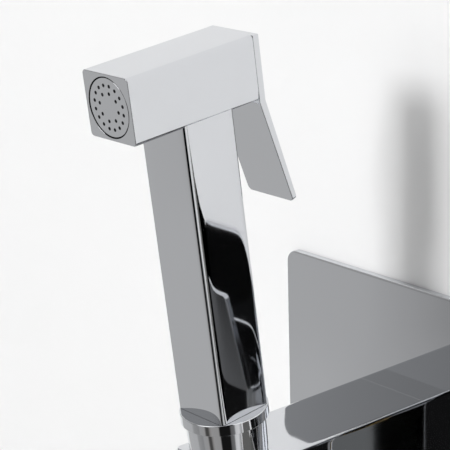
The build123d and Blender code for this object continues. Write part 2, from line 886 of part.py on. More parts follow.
def mixer_body():
    """Body behind the wall, with the cartridge seat, two inlets below and one outlet to the bar."""
    body = rod(body_radius, body_back, body_front)
    body += rod(body_neck, body_front, body_neck_out)
    outlet_at = (0, outlet_depth)
    thread_end = -body_radius - union_thread_length
    body += rod(union_thread + union_boss_step, -body_radius - union_boss_step, 0, "x", outlet_at)
    body += rod(union_thread, thread_end, 0, "x", outlet_at)
    for side in (-1, 1):
        at = (side * inlet_spread, inlet_depth)
        body += rod(inlet_boss, -inlet_length, inlet_boss_top, "y", at)
        body += rod(riser_boss, inlet_boss_top, riser_boss_top, "y", at)
    body -= rod(cartridge_radius + slip, cartridge_seat, body_neck_out)
    body -= rod(cartridge_nut_radius + soft_gap, cartridge_top, body_neck_out)
    body -= rod(outlet_bore, thread_end, outlet_port_radius, "x", outlet_at)
    body -= rod(outlet_port_radius, outlet_depth, cartridge_seat, "z", (0, outlet_port_height))
    groove_low = trim_groove - trim_groove_half
    groove_high = trim_groove + trim_groove_half
    body -= ring(body_neck, trim_bore - trim_groove_depth, groove_low, groove_high)
    for side in (-1, 1):
        at = (side * inlet_spread, inlet_depth)
        x = sorted((side * inlet_spread, side * port_spread))
        body -= rod(inlet_bore, -inlet_length, strainer_low, "y", at)
        body -= rod(strainer_radius + slip, strainer_low, check_low, "y", at)
        body -= rod(check_bore, check_low, check_high, "y", at)
        body -= rod(riser_bore, check_high, riser_top, "y", at)
        body -= rod(port_radius, *x, "x", (-port_circle, inlet_depth))
        body -= rod(port_radius, inlet_depth, cartridge_seat, "z", (side * port_spread, -port_circle))
    for spot in body_screws:
        body -= rod(cap_screw, body_front - cap_screw_bite, body_front, "z", spot)
    return body


def cartridge_base():
    """Base of the cartridge with its three ports."""
    base = rod(cartridge_radius, cartridge_seat, housing_low)
    seal_high = cartridge_seat + port_seal_depth
    for x, y, radius in ports:
        base -= rod(radius, cartridge_seat, housing_low, "z", (x, y))
        base -= rod(radius + port_seal_space, cartridge_seat, seal_high, "z", (x, y))
    return base


def port_seals():
    """Ring seals around the ports."""
    wire = port_seal_depth / 2 - soft_gap / 2
    place = cartridge_seat + port_seal_depth / 2
    around = port_seal_space - soft_gap
    return [seal_ring(radius + around, wire, place, "z", (x, y)) for x, y, radius in ports]


def cartridge_housing():
    """Cup over the discs, with a roof that retains the bush."""
    housing = rod(cartridge_radius, housing_low, cartridge_top)
    housing -= rod(cartridge_bore, housing_low, cartridge_top - housing_roof)
    return housing - rod(bush_neck + running, housing_low, cartridge_top)


def fixed_disc():
    """Fixed ceramic disc."""
    disc = rod(fixed_disc_radius, housing_low, moving_low)
    for x, y, radius in ports:
        disc -= rod(radius - disc_port_step, housing_low, moving_low, "z", (x, y))
    return disc


def moving_disc():
    """Moving ceramic disc with its mixing hollow."""
    disc = rod(moving_disc_radius, moving_low, carrier_low)
    return disc - rod(mixing_hollow, moving_low, moving_low + mixing_hollow_depth)


def disc_carrier():
    """Carrier that the spindle's ball slides, guided by the bush's lugs."""
    top = bush_low - carrier_gap
    carrier = rod(moving_disc_radius, carrier_low, top)
    carrier -= rod(spindle_ball + ball_gap, ball_out - spindle_ball - ball_gap, top)
    reach = moving_disc_radius
    groove_low = bush_low - lug_height - carrier_gap
    for x in both_sides(lug_inner - slip, lug_outer + slip):
        carrier -= block(x, (-reach, reach), (groove_low, top))
    return carrier


def turning_bush():
    """Bush that turns with the lever, slotted for the spindle's tilt."""
    swing = math.tan(math.radians(control_tilt))
    bush = rod(bush_flange, bush_low, cartridge_top - housing_roof - running)
    bush += rod(bush_neck, bush_low, bush_neck_top)
    half_x = spindle_width / 2 + slip
    step = bush_low + bush_slot_step
    for low, high in ((bush_low, step), (step, bush_neck_top)):
        half_y = (pivot_out - low) * swing + spindle_width / 2 + bush_slot_gap
        bush -= block((-half_x, half_x), (-half_y, half_y), (low, high))
    half_lug = lug_length / 2
    for x in both_sides(lug_inner, lug_outer):
        bush += block(x, (-half_lug, half_lug), (bush_low - lug_height, bush_low + past))
    return bush - rod(pin_radius + soft_gap, -bush_neck, bush_neck, "x", (0, pivot_out))


def spindle_pin():
    """Pin that the spindle tilts on."""
    half = math.sqrt(bush_neck ** 2 - pin_radius ** 2) - pin_end_gap
    return rod(pin_radius, -half, half, "x", (0, pivot_out))


def spindle():
    """Square spindle with a ball at its lower end."""
    half = spindle_width / 2
    shank_low = ball_out + ball_neck
    part = block((-half, half), (-half, half), (shank_low, hub_low + hub_depth - hub_front_wall - slip))
    part += rod(spindle_neck, ball_out, shank_low + past)
    part += Pos(0, 0, ball_out) * Sphere(spindle_ball)
    return part - rod(pin_radius + running, -half, half, "x", (0, pivot_out))


def cartridge_nut():
    """Ring nut that holds the cartridge down."""
    high = cartridge_top + cartridge_nut_height
    nut = ring(cartridge_nut_radius, cartridge_nut_hole, cartridge_top, high)
    for spot in circle_of(nut_spanner_circle, 4, 45):
        nut -= rod(nut_spanner_hole, high - nut_spanner_depth, high, "z", spot)
    return nut


def lever_dome():
    """Dome that fills the trim's opening and moves with the lever."""
    dome = Pos(0, 0, pivot_out) * (Sphere(dome_radius) - Sphere(dome_radius - dome_wall))
    dome &= rod(dome_radius + past, pivot_out + dome_rim, pivot_out + dome_radius + past)
    dome += rod(dome_neck, pivot_out + dome_radius - dome_wall, hub_low)
    half = spindle_width / 2 + soft_gap
    return dome - block((-half, half), (-half, half), (pivot_out, hub_low))


def lever_hub():
    """Square hub on the spindle."""
    half = hub_width / 2
    high = hub_low + hub_depth
    hub = rounded(block((-half, half), (-half, half), (hub_low, high)), head_round, Axis.Z)
    socket = spindle_width / 2 + soft_gap
    hub -= block((-socket, socket), (-socket, socket), (hub_low, high - hub_front_wall))
    hub -= rod(hub_screw_radius + soft_gap, -half, 0, "y", (0, hub_middle))
    return hub - rod(cap_radius, -half, -half + cap_height, "y", (0, hub_middle))


def hub_screw():
    """Grub screw that holds the hub on the spindle."""
    low = -hub_width / 2 + cap_height + cap_gap
    screw = rod(hub_screw_radius, low, -spindle_width / 2, "y", (0, hub_middle))
    return screw - placed(key_socket(hub_screw_radius, key_depth), "y", low, (0, hub_middle))


def index_cap():
    """Small cap over the hub's grub screw."""
    low = -hub_width / 2
    return rod(cap_radius - soft_gap, low, low + cap_height, "y", (0, hub_middle))


def control_lever():
    """Bent flat plate on the hub, in the style of the thumb lever."""
    half = hub_width / 2
    lever = bent_lever(hub_width, half, hub_low + hub_depth, control_bend - half, control_leg)
    return Rot(90, 0, 0) * lever


# Check valves, strainers, outlet tube, elbow and bracket behind the wall

def check_housings():
    """Housings of the hot and cold check valves, each with a seat below and a guide above."""
    housings = []
    seat_high = check_low + check_end
    guide_low = check_high - check_end
    for side in (-1, 1):
        at = (side * inlet_spread, inlet_depth)
        shell = ring(check_bore - slip, check_bore - check_wall, check_low, check_high, "y", at)
        shell += ring(check_bore - slip, check_bore - check_seat_wall, check_low, seat_high, "y", at)
        guide = rod(check_bore - check_wall + soft_gap, guide_low, check_high, "y", at)
        guide -= rod(check_stem + running, guide_low, check_high, "y", at)
        for x, z in circle_of(check_way_circle, 4, 45):
            guide -= rod(check_way, guide_low, check_high, "y", (at[0] + x, at[1] + z))
        housings.append(shell + guide)
    return housings


def check_poppet(side):
    """Poppet that lifts off its seat when water flows."""
    at = (side * inlet_spread, inlet_depth)
    low = check_low + check_end + soft_gap
    poppet = rod(check_bore - check_wall - check_disc_gap, low, low + check_disc_thickness, "y", at)
    return poppet + rod(check_stem, low, check_high, "y", at)


def check_spring(side):
    """Coil spring of a check valve."""
    at = (side * inlet_spread, inlet_depth)
    low = check_low + check_end + soft_gap + check_disc_thickness
    return coil(check_spring_radius, low, check_high - check_end, check_spring_turns, at)


def inlet_strainers():
    """Strainer discs below the check valves."""
    discs = []
    for side in (-1, 1):
        at = (side * inlet_spread, inlet_depth)
        disc = rod(strainer_radius, strainer_low, check_low, "y", at)
        for x, z in rows_of(strainer_rows):
            disc -= rod(strainer_hole, strainer_low, check_low, "y", (at[0] + x, at[1] + z))
        discs.append(disc)
    return discs


def outlet_tube():
    """Short flanged tube from the mixer to the elbow."""
    low = union_left + union_washer
    high = union_right - union_washer
    tube = rod(tube_radius, low, high, "x", union_at)
    tube += rod(tube_flange, low, low + tube_flange_width, "x", union_at)
    tube += rod(tube_flange, high - tube_flange_width, high, "x", union_at)
    return tube - rod(outlet_bore, low, high, "x", union_at)


def union_washers():
    """Flat washers at both ends of the outlet tube."""
    places = ((union_left, union_left + union_washer), (union_right - union_washer, union_right))
    return [ring(tube_flange, outlet_bore, low, high, "x", union_at) for low, high in places]


def union_nuts():
    """Hexagon nuts that clamp the tube's flanges."""
    nuts = []
    for end, way in ((union_left, 1), (union_right, -1)):
        face = end + way * (union_washer + tube_flange_width)
        lip = face + way * union_nut_lip
        back = lip - way * union_nut_length
        low, high = sorted((lip, back))
        outline = RegularPolygon(union_nut_across / 2, 6, major_radius=False, rotation=30)
        nut = placed(extrude(outline, high - low), "x", low, union_at)
        nut -= rod(union_thread + soft_gap, *sorted((face, back)), "x", union_at)
        nuts.append(nut - rod(tube_radius + slip, low, high, "x", union_at))
    return nuts


def bar_elbow():
    """Elbow behind the wall that turns the water into the bar."""
    arm = elbow_radius + elbow_arm
    flange_y = (bracket_back, bracket_back + elbow_flange_depth)
    elbow = rod(elbow_flange, *flange_y, "y")
    elbow &= block((-elbow_flange, elbow_flat), flange_y, (-elbow_flange, elbow_flange))
    elbow += rod(elbow_radius, bracket_back, bracket_back + elbow_depth, "y")
    elbow += rod(union_thread, 0, arm, "x", union_at)
    elbow -= rod(supply_bore, bracket_back, bracket_back + elbow_socket, "y")
    elbow -= rod(outlet_bore, bracket_back, -outlet_depth + outlet_bore, "y")
    elbow -= rod(outlet_bore, 0, arm, "x", union_at)
    for x, z in elbow_screws:
        elbow -= rod(cap_screw, bracket_back, bracket_back + cap_screw_bite, "y", (x, z))
    return in_bar * elbow


def mounting_bracket():
    """Steel plate that carries mixer body and elbow behind the wall's face."""
    span = (bar_x - bracket_side, control_x + bracket_far_side)
    depth = (bracket_front, bracket_back)
    half = bracket_height / 2
    plate = rounded(block(span, depth, (-half, half)), bracket_corner, Axis.Y)
    plate -= in_bar * rod(supply_bore + slip, *depth, "y")
    plate -= Pos(control_x, 0, 0) * rod(body_neck + slip, *depth, "y")
    for x in (span[0] + wall_hole_inset, span[1] - wall_hole_inset):
        for z in (wall_hole_inset - half, half - wall_hole_inset):
            plate -= rod(wall_hole, *depth, "y", (x, z))
    for spot in bracket_screw_places:
        plate -= rod(cap_screw + soft_gap, *depth, "y", spot)
    return plate


def bracket_screws():
    """Cap screws through the bracket into elbow and mixer body."""
    screws = []
    head_front = bracket_front - cap_screw_head_height
    socket = key_socket(cap_screw_key, cap_screw_head_height / 2)
    for spot in bracket_screw_places:
        screw = rod(cap_screw_head, head_front, bracket_front, "y", spot)
        screw += rod(cap_screw, bracket_front, bracket_back + cap_screw_bite, "y", spot)
        screws.append(screw - placed(socket, "y", head_front, spot))
    return screws


hand_nodes = (
    head_body,
    spray_face,
    spray_seal,
    flow_diffuser,
    valve_seat,
    valve_stem,
    poppet_seal,
    valve_spring,
    valve_gland,
    gland_seals,
    lever_bracket,
    lever_bracket_screws,
    lever_pin,
    thumb_lever,
    neck_nipple,
    neck_seal,
    handle_body,
    handle_collar,
    inlet_spigot,
    strainer_washer,
    hose_nut,
)
row_nodes = (
    holder_bar,
    holder_liner,
    bar_sleeve,
    supply_nipple,
    bar_seals,
    outlet_nipple,
    grub_screws,
    wall_plate,
    plate_gasket,
    outlet_tube,
    union_washers,
    union_nuts,
    bar_elbow,
    mounting_bracket,
    bracket_screws,
)
control_nodes = (
    trim_block,
    trim_seal,
    mixer_body,
    cartridge_base,
    port_seals,
    cartridge_housing,
    fixed_disc,
    moving_disc,
    disc_carrier,
    turning_bush,
    spindle_pin,
    spindle,
    cartridge_nut,
    lever_dome,
    lever_hub,
    hub_screw,
    index_cap,
    control_lever,
    check_housings,
    inlet_strainers,
)


def save(name, made, place):
    """Writes one node, as a single solid or as a group of separate ones."""
    solids = made if isinstance(made, list) else [made]
    moved = [place * solid for solid in solids]
    shape = moved[0] if len(moved) == 1 else Compound(children=moved)
    export_step(shape, "parts/" + name + ".step")


os.makedirs("parts", exist_ok=True)
for nodes, frame_place in ((hand_nodes, in_hand), (row_nodes, in_row), (control_nodes, in_control)):
    for make in nodes:
        save(make.__name__, make(), frame_place)
for water, water_side in (("hot", -1), ("cold", 1)):
    save(water + "_check_poppet", check_poppet(water_side), in_control)
    save(water + "_check_spring", check_spring(water_side), in_control)
print("lever stroke at the stem", round(stroke, 3))
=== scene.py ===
import json
import math

import bmesh
import bpy
from bpy.props import FloatProperty, FloatVectorProperty, IntProperty, PointerProperty
from mathutils import Matrix, Vector


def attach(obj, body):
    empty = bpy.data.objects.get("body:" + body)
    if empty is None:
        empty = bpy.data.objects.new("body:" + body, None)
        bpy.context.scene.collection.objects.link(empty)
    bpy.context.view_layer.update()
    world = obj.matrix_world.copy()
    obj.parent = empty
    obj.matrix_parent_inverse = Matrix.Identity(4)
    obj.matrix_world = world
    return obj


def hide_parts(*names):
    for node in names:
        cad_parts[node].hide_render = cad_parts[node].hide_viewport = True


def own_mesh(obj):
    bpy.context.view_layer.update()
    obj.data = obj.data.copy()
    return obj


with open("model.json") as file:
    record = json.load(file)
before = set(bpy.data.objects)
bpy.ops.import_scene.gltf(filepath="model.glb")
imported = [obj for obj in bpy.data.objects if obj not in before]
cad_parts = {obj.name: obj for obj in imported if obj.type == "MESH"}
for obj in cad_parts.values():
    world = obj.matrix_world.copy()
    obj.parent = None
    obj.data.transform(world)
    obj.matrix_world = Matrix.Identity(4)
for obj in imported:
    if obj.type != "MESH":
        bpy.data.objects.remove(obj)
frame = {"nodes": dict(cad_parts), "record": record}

bl_info = {
    "name": "Bidet Shower Mixer",
    "version": (1, 0, 0),
    "blender": (4, 5, 0),
    "location": "View3D > Sidebar > Bidet Shower",
    "description": "Builds the finished pieces of a bidet shower mixer around its frame",
    "category": "Object",
}

# Shapes are drawn in millimetres, and to_object puts them in their place in metres.
MM = 0.001
POINTS = 120            # points round an outline
HOLE_POINTS = 48        # points round a small hole
SQUARE_CROWDING = 2.3   # how much the points of a square crowd towards its corners
SOFT_CROWDING = 2.2     # the same for a soft outline
ROLL_STEPS = 8          # steps of a rounded edge
LATE = 12               # power of a roll-off that comes late
EARLY = 7               # power of one that comes sooner
SHARP = math.radians(28)

# Places of the groups, in millimetres
BAR_X = -36.0
CONTROL_X = 36.0
LEAN = math.radians(6.66)
IN_HAND = Matrix.Translation((BAR_X, -87.6, 30.55)) @ Matrix.Rotation(LEAN, 4, "X")
IN_CONTROL = Matrix.Translation((CONTROL_X, 0.0, 0.0)) @ Matrix.Rotation(math.radians(90), 4, "X")
IN_LEVER = Matrix.Translation((CONTROL_X, 0.0, 0.0)) @ Matrix.Rotation(math.radians(180), 4, "X")
IN_BAR = Matrix.Translation((BAR_X, 0.0, 0.0))
AS_DRAWN = Matrix.Identity(4)

# Hand shower, upright about the handle's axis with the collar's top face at height 0
HEAD_HALF = 10.0
HEAD_HEIGHT = 19.2
HEAD_FRONT = -26.4
HEAD_BACK = 19.44
HEAD_BASE = 93.8
HEAD_AXIS = HEAD_BASE + HEAD_HEIGHT / 2
HANDLE_DEPTH_HALF = 9.1
SPRAY_BORE = 8.95
SPRAY_RIM = 8.56
SPRAY_FRONT = HEAD_FRONT + 0.15
SPRAY_FLOOR = SPRAY_FRONT + 1.6
SPRAY_BACK = HEAD_FRONT + 8.0
POCKET_FRONT = 13.4
PIVOT = (17.0, 97.0)
LEVER_INNER = 19.62
LEVER_THICKNESS = 2.28
LEVER_TIP_THICKNESS = 1.7
LEVER_FLARE = math.radians(14.1)
LEVER_BEND = 2.4
LEVER_CORNER = 1.4
HANDLE_LOW = 0.06
HANDLE_TOP = HEAD_BASE + 0.5
COLLAR_LOW = -3.5
COLLAR_RADIUS = 13.65
FLANGE_LOW = -4.6
NUT_TOP = -3.75
NUT_SHOULDER = FLANGE_LOW - 9.4
NUT_LOW = FLANGE_LOW - 32.0
NUT_RADIUS = 12.4
NUT_SHOULDER_RADIUS = 12.2
THREAD_LOW = FLANGE_LOW - 12.4

# Bar, plate and control
BAR_HALF = 14.6
BAR_TIP = -95.6
BAR_END_ROLL = 2.0
JOINT = -14.4
JOINT_EDGE = 0.05
PLATE_FRONT = -2.6
PLATE_HALF = (99.0, 47.0)
PLATE_CORNER = 4.6
OUTLET_Y = -38.0
OUTLET_LOW = -BAR_HALF - 13.0
TRIM_HALF = 26.0
TRIM_BACK = 2.6
TRIM_FRONT = 26.6
PIVOT_OUT = 22.0
HUB_HALF = 11.0
HUB_LOW = 31.4
HUB_HIGH = 40.4
CHECK_Y = 34.0
SCREW_Y = 2.2
SCREW_Z = 14.6
LAMP_DISTANCE = 3.0
ROOM_RADIUS = 1.6


class FinishSettings(bpy.types.PropertyGroup):
    """Colours and roughness of the finishes."""

    chrome_colour: FloatVectorProperty(
        name="Chrome", description="Colour of the polished chrome plate", subtype="COLOR",
        size=3, min=0.0, max=1.0, default=(0.69, 0.702, 0.725),
    )
    chrome_roughness: FloatProperty(
        name="Chrome roughness", description="Roughness of the cleanest places of the chrome",
        min=0.0, max=1.0, default=0.025,
    )
    brass_colour: FloatVectorProperty(
        name="Brass", description="Colour of the bare brass", subtype="COLOR",
        size=3, min=0.0, max=1.0, default=(0.72, 0.5, 0.22),
    )
    steel_colour: FloatVectorProperty(
        name="Steel", description="Colour of the stainless steel", subtype="COLOR",
        size=3, min=0.0, max=1.0, default=(0.56, 0.56, 0.55),
    )
    plastic_colour: FloatVectorProperty(
        name="White plastic", description="Colour of the moulded cartridge and valves", subtype="COLOR",
        size=3, min=0.0, max=1.0, default=(0.8, 0.8, 0.77),
    )


class ShapeSettings(bpy.types.PropertyGroup):
    """Sizes that shape the edges and the repeated pieces."""

    handle_corner: FloatProperty(
        name="Handle corner",
        description="Radius of the handle's long edges towards its front, in millimetres",
        min=0.2, max=4.0, default=0.32,
    )
    side_corner: FloatProperty(
        name="Side corner",
        description="Radius of the handle's long edges towards its sides, in millimetres",
        min=0.2, max=4.0, default=2.0,
    )
    handle_roll: FloatProperty(
        name="Front roll-off", description="Angle over which the handle's front rolls off",
        min=0.003, max=0.4, default=math.radians(4.0), subtype="ANGLE",
    )
    side_roll: FloatProperty(
        name="Side roll-off", description="Angle over which the handle's sides roll off",
        min=0.003, max=0.4, default=math.radians(10.0), subtype="ANGLE",
    )
    handle_crown: FloatProperty(
        name="Handle crown",
        description="How far the middle of the handle's sides stands out, in millimetres",
        min=0.0, max=0.5, default=0.34,
    )
    head_corner: FloatProperty(
        name="Head corner", description="Radius of the head's long edges, in millimetres",
        min=0.2, max=4.0, default=1.15,
    )
    head_roll: FloatProperty(
        name="Head roll-off", description="Angle over which the head's sides roll off",
        min=0.003, max=0.4, default=math.radians(2.0), subtype="ANGLE",
    )
    head_crown: FloatProperty(
        name="Head crown", description="How far the middle of the head's sides stands out, in millimetres",
        min=0.0, max=0.5, default=0.2,
    )
    bar_power: FloatProperty(
        name="Bar squareness", description="Higher is squarer, with a shorter roll-off at the edges",
        min=4.0, max=80.0, default=60.0,
    )
    bar_lean: FloatProperty(
        name="Bar top lean", description="How far the mirror of the bar's top leans towards the wall",
        min=0.0, max=0.2, default=0.05, subtype="ANGLE",
    )
    plate_roll: FloatProperty(
        name="Plate edge", description="Radius of the wall plate's front edge, in millimetres",
        min=0.2, max=1.5, default=0.8,
    )
    lever_edge: FloatProperty(
        name="Lever edge", description="Radius of the levers' long edges, in millimetres",
        min=0.05, max=1.0, default=0.22,
    )
    outer_holes: IntProperty(
        name="Outer spray holes", description="Holes in the outer circle of the spray face",
        min=3, max=40, default=16,
    )
    inner_holes: IntProperty(
        name="Inner spray holes", description="Holes in the inner circle of the spray face",
        min=3, max=40, default=8,
    )
    spray_turn: FloatProperty(
        name="Spray turn", description="How far the circles of holes are turned, in degrees",
        min=-45.0, max=45.0, default=11.25,
    )
    hole_radius: FloatProperty(
        name="Spray hole", description="Radius of a spray hole, in millimetres",
        min=0.1, max=1.0, default=0.54,
    )


class StageSettings(bpy.types.PropertyGroup):
    """Light and surroundings."""

    wall_tone: FloatProperty(
        name="Wall", description="How pale the wall is", min=0.0, max=1.0, default=0.93,
    )
    key_level: FloatProperty(
        name="Key light",
        description="Light of the front lamp on the wall, where 1 shows a colour as it is",
        min=0.0, max=2.0, default=0.46,
    )
    side_level: FloatProperty(
        name="Side light", description="Light of the broad side lamp, where 1 shows a colour as it is",
        min=0.0, max=2.0, default=0.4,
    )
    fill_level: FloatProperty(
        name="Fill light", description="Even light from all round, where 1 shows a colour as it is",
        min=0.0, max=2.0, default=0.03,
    )
    surround_level: FloatProperty(
        name="Reflected room", description="Brightness of the room that the chrome reflects",
        min=0.0, max=4.0, default=1.0,
    )


# Outlines, as pairs of numbers

def all_round(quarter, middle):
    """Whole outline, from a quarter that starts on the first axis and ends on the second."""
    points = quarter[:-1]
    points += [(-a, b) for a, b in quarter[:0:-1]]
    points += [(-a, -b) for a, b in quarter[:-1]]
    points += [(a, -b) for a, b in quarter[:0:-1]]
    return [(middle[0] + a, middle[1] + b) for a, b in points]


def square_outline(half_a, half_b, power, middle=(0.0, 0.0)):
    """Square whose sides are nearly flat in the middle and roll off towards rounded corners.

    Each eighth runs from the middle of a side to the corner, where its points stand closer together."""
    steps = POINTS // 8
    corner = 2 ** (-1 / power)
    eighth = []
    for i in range(steps):
        along = corner * (1 - (1 - i / steps) ** SQUARE_CROWDING)
        eighth.append(((1 - along ** power) ** (1 / power), along))
    quarter = eighth + [(corner, corner)] + [(b, a) for a, b in reversed(eighth)]
    return all_round([(half_a * a, half_b * b) for a, b in quarter], middle)


def soft_outline(half_a, half_b, side, front, middle=(0.0, 0.0)):
    """Square with sides that are flat in the middle, roll off late and end in round corners.

    Side and front are the sides across the first and the second axis, each a corner radius, a roll-off
    angle and the power that says how late the roll-off comes."""
    steps = POINTS // 8
    flat = steps * 8 // 15
    round_steps = steps - flat

    def rolled(roll, power):
        ends = [1 - (1 - i / flat) ** SOFT_CROWDING for i in range(flat + 1)]
        turns = [roll * end ** power for end in ends]
        along = [0.0]
        across = [0.0]
        for i in range(flat):
            turn = (turns[i] + turns[i + 1]) / 2
            step = ends[i + 1] - ends[i]
            along.append(along[i] + step * math.cos(turn))
            across.append(across[i] + step * math.sin(turn))
        return along, across

    def rounded(corner, roll):
        turns = [roll + (math.pi / 4 - roll) * i / round_steps for i in range(round_steps + 1)]
        return [
            (corner * (math.sin(turn) - math.sin(roll)), corner * (math.cos(roll) - math.cos(turn)))
            for turn in turns
        ]

    side_along, side_across = rolled(side[1], side[2])
    front_along, front_across = rolled(front[1], front[2])
    side_chord = rounded(side[0], side[1])
    front_chord = rounded(front[0], front[1])
    left_b = half_b - side_chord[-1][0] - front_chord[-1][1]
    left_a = half_a - side_chord[-1][1] - front_chord[-1][0]
    scale = side_along[-1] * front_along[-1] - side_across[-1] * front_across[-1]
    side_length = (left_b * front_along[-1] - left_a * front_across[-1]) / scale
    front_length = (left_a * side_along[-1] - left_b * side_across[-1]) / scale
    quarter = [(half_a - side_length * c, side_length * s) for s, c in zip(side_along, side_across)]
    end_a, end_b = quarter[-1]
    quarter += [(end_a - c, end_b + s) for s, c in side_chord[1:]]
    other = [(front_length * s, half_b - front_length * c) for s, c in zip(front_along, front_across)]
    end_a, end_b = other[-1]
    other += [(end_a + s, end_b - c) for s, c in front_chord[1:-1]]
    return all_round(quarter + other[::-1], middle)


def round_outline(radius, middle=(0.0, 0.0), count=POINTS):
    """Circle."""
    steps = [2 * math.pi * i / count for i in range(count)]
    return [(middle[0] + radius * math.cos(t), middle[1] + radius * math.sin(t)) for t in steps]


def cornered_outline(half_a, half_b, radius, middle=(0.0, 0.0)):
    """Rectangle with flat sides and round corners."""
    points = []
    corner = POINTS // 4
    for quarter in range(4):
        way_a = 1 if quarter in (0, 3) else -1
        way_b = 1 if quarter in (0, 1) else -1
        for i in range(corner):
            t = math.pi / 2 * (quarter + i / (corner - 1))
            a = way_a * (half_a - radius) + radius * math.cos(t)
            b = way_b * (half_b - radius) + radius * math.sin(t)
            points.append((middle[0] + a, middle[1] + b))
    return points


def hexagon_outline(across):
    """Hexagon with as many points as the other outlines."""
    points = []
    reach = across / math.sqrt(3)
    side = POINTS // 6
    for i in range(POINTS):
        part = i / side
        low = math.floor(part)
        share = part - low
        a, b = math.radians(60 * low), math.radians(60 * (low + 1))
        points.append((
            reach * (math.cos(a) * (1 - share) + math.cos(b) * share),
            reach * (math.sin(a) * (1 - share) + math.sin(b) * share),
        ))
    return points


def quarter_turn(steps):
    """Angles from 0 to 90 degrees in even steps."""
    return [math.pi / 2 * step / steps for step in range(steps + 1)]


def end_roll(outline, end, into, radius):
    """Stations of a rounded edge, from the flat end face out to the side. into is +1 or -1."""
    return [
        (outline(radius * (1 - math.sin(t))), end + into * radius * (1 - math.cos(t)))
        for t in quarter_turn(ROLL_STEPS)
    ]


def circles(pairs, middle=(0.0, 0.0)):
    """Stations of circles, given as (radius, height) pairs."""
    return [(round_outline(radius, middle), height) for radius, height in pairs]


def round_side(radius, middle=(0.0, 0.0)):
    """Circle that end_roll can set in."""
    return lambda inset: round_outline(radius - inset, middle)


def square_side(half, power):
    """Square that end_roll can set in."""
    return lambda inset: square_outline(half - inset, half - inset, power)


# Meshes

def upright(a, b, height):
    """Point of an outline that lies flat, at a height."""
    return (a, b, height)


def inward(a, b, depth):
    """Point of an outline that stands up, at a distance along Y."""
    return (a, depth, b)


def sideways(a, b, along):
    """Point of an outline that stands up, at a distance along X."""
    return (along, a, b)


def skin(rings, closed=False):
    """Mesh through a chain of rings of points, ending in flat caps or joined up where it is closed."""
    mesh = bmesh.new()
    rings = [[mesh.verts.new(point) for point in ring] for ring in rings]
    pairs = list(zip(rings, rings[1:]))
    if closed:
        pairs.append((rings[-1], rings[0]))
    for first, second in pairs:
        count = len(first)
        for i in range(count):
            j = (i + 1) % count
            mesh.faces.new((first[i], first[j], second[j], second[i]))
    if not closed:
        mesh.faces.new(rings[0])
        mesh.faces.new(rings[-1])
    bmesh.ops.remove_doubles(mesh, verts=mesh.verts[:], dist=1e-5)
    bmesh.ops.recalc_face_normals(mesh, faces=mesh.faces[:])
    return mesh


def stack(stations, to_point, closed=False):
    """Mesh through a chain of outlines, each at its height."""
    rings = [[to_point(a, b, height) for a, b in outline] for outline, height in stations]
    return skin(rings, closed)


def add_object(name, data):
    """New object in the scene."""
    made = bpy.data.objects.new(name, data)
    bpy.context.scene.collection.objects.link(made)
    return made


def to_object(name, mesh, place=AS_DRAWN):
    """Object at the origin whose drawn mesh is put in its place in metres."""
    mesh.transform(Matrix.Scale(MM, 4) @ place)
    data = bpy.data.meshes.new(name)
    mesh.to_mesh(data)
    mesh.free()
    return add_object(name, data)


def round_bar(radius, low, high, to_point=upright, at=(0.0, 0.0), place=AS_DRAWN, count=POINTS):
    """Plain round bar, used to cut holes."""
    outline = round_outline(radius, at, count)
    return to_object("cutter", stack([(outline, low), (outline, high)], to_point), place)


def block(half, near, far, low, high, place):
    """Plain block from -half to half across X, used for cuts and for small hidden shapes."""
    mesh = bmesh.new()
    bmesh.ops.create_cube(mesh, size=1.0)
    middle = (0.0, (far + near) / 2, (high + low) / 2)
    mesh.transform(Matrix.Translation(middle) @ Matrix.Diagonal((2 * half, far - near, high - low, 1.0)))
    return to_object("cutter", mesh, place)


def keep_result(piece, step):
    """Keeps what a modifier makes of a piece as its plain mesh."""
    graph = bpy.context.evaluated_depsgraph_get()
    result = bpy.data.meshes.new_from_object(piece.evaluated_get(graph))
    piece.modifiers.remove(step)
    before = piece.data
    piece.data = result
    bpy.data.meshes.remove(before)
    if not result.polygons:
        raise RuntimeError(f"nothing is left of {piece.name}")


def carve(piece, cutter, operation="DIFFERENCE"):
    """Cuts a closed mesh with another, or joins the two."""
    step = piece.modifiers.new("carve", "BOOLEAN")
    step.operation = operation
    step.solver = "EXACT"
    step.object = cutter
    keep_result(piece, step)
    bpy.data.objects.remove(cutter)


def finish_piece(piece, body, slot, *nodes):
    """Gives a piece the finish of its slot and smooth shading, hangs it on its body and hides the nodes
    that it stands for.
    """
    data = piece.data
    data.name = piece.name
    data.materials.clear()
    data.materials.append(finishes()[slot])
    data.shade_smooth()
    data.set_sharp_from_angle(angle=SHARP)
    weighted = piece.modifiers.new("weighted_normals", "WEIGHTED_NORMAL")
    weighted.mode = "FACE_AREA"
    weighted.weight = 50
    weighted.keep_sharp = True
    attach(piece, body)
    if nodes:
        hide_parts(*nodes)


def lean_top(piece, lean):
    """Leans the normals of a piece's top towards the wall, as on a bar that rises a little.

    Only normals within 0.1 of straight up are leant, the more the nearer they come to it."""
    graph = bpy.context.evaluated_depsgraph_get()
    data = bpy.data.meshes.new_from_object(
        piece.evaluated_get(graph), preserve_all_data_layers=True, depsgraph=graph
    )
    normals = [corner.vector.copy() for corner in data.corner_normals]
    piece.modifiers.clear()
    before = piece.data
    for normal in normals:
        up = (normal.z - 0.9) / 0.1
        if up > 0:
            normal.y += lean * up
            normal.normalize()
    data.normals_split_custom_set(normals)
    piece.data = data
    bpy.data.meshes.remove(before)
    data.name = piece.name


# Node helpers and materials

def add_node(tree, kind, inputs=None, **settings):
    """New node with its settings, each of whose inputs is linked to a socket or set to a value."""
    node = tree.nodes.new(kind)
    for name, value in settings.items():
        setattr(node, name, value)
    for name, value in (inputs or {}).items():
        if isinstance(value, bpy.types.NodeSocket):
            tree.links.new(value, node.inputs[name])
        else:
            node.inputs[name].default_value = value
    return node


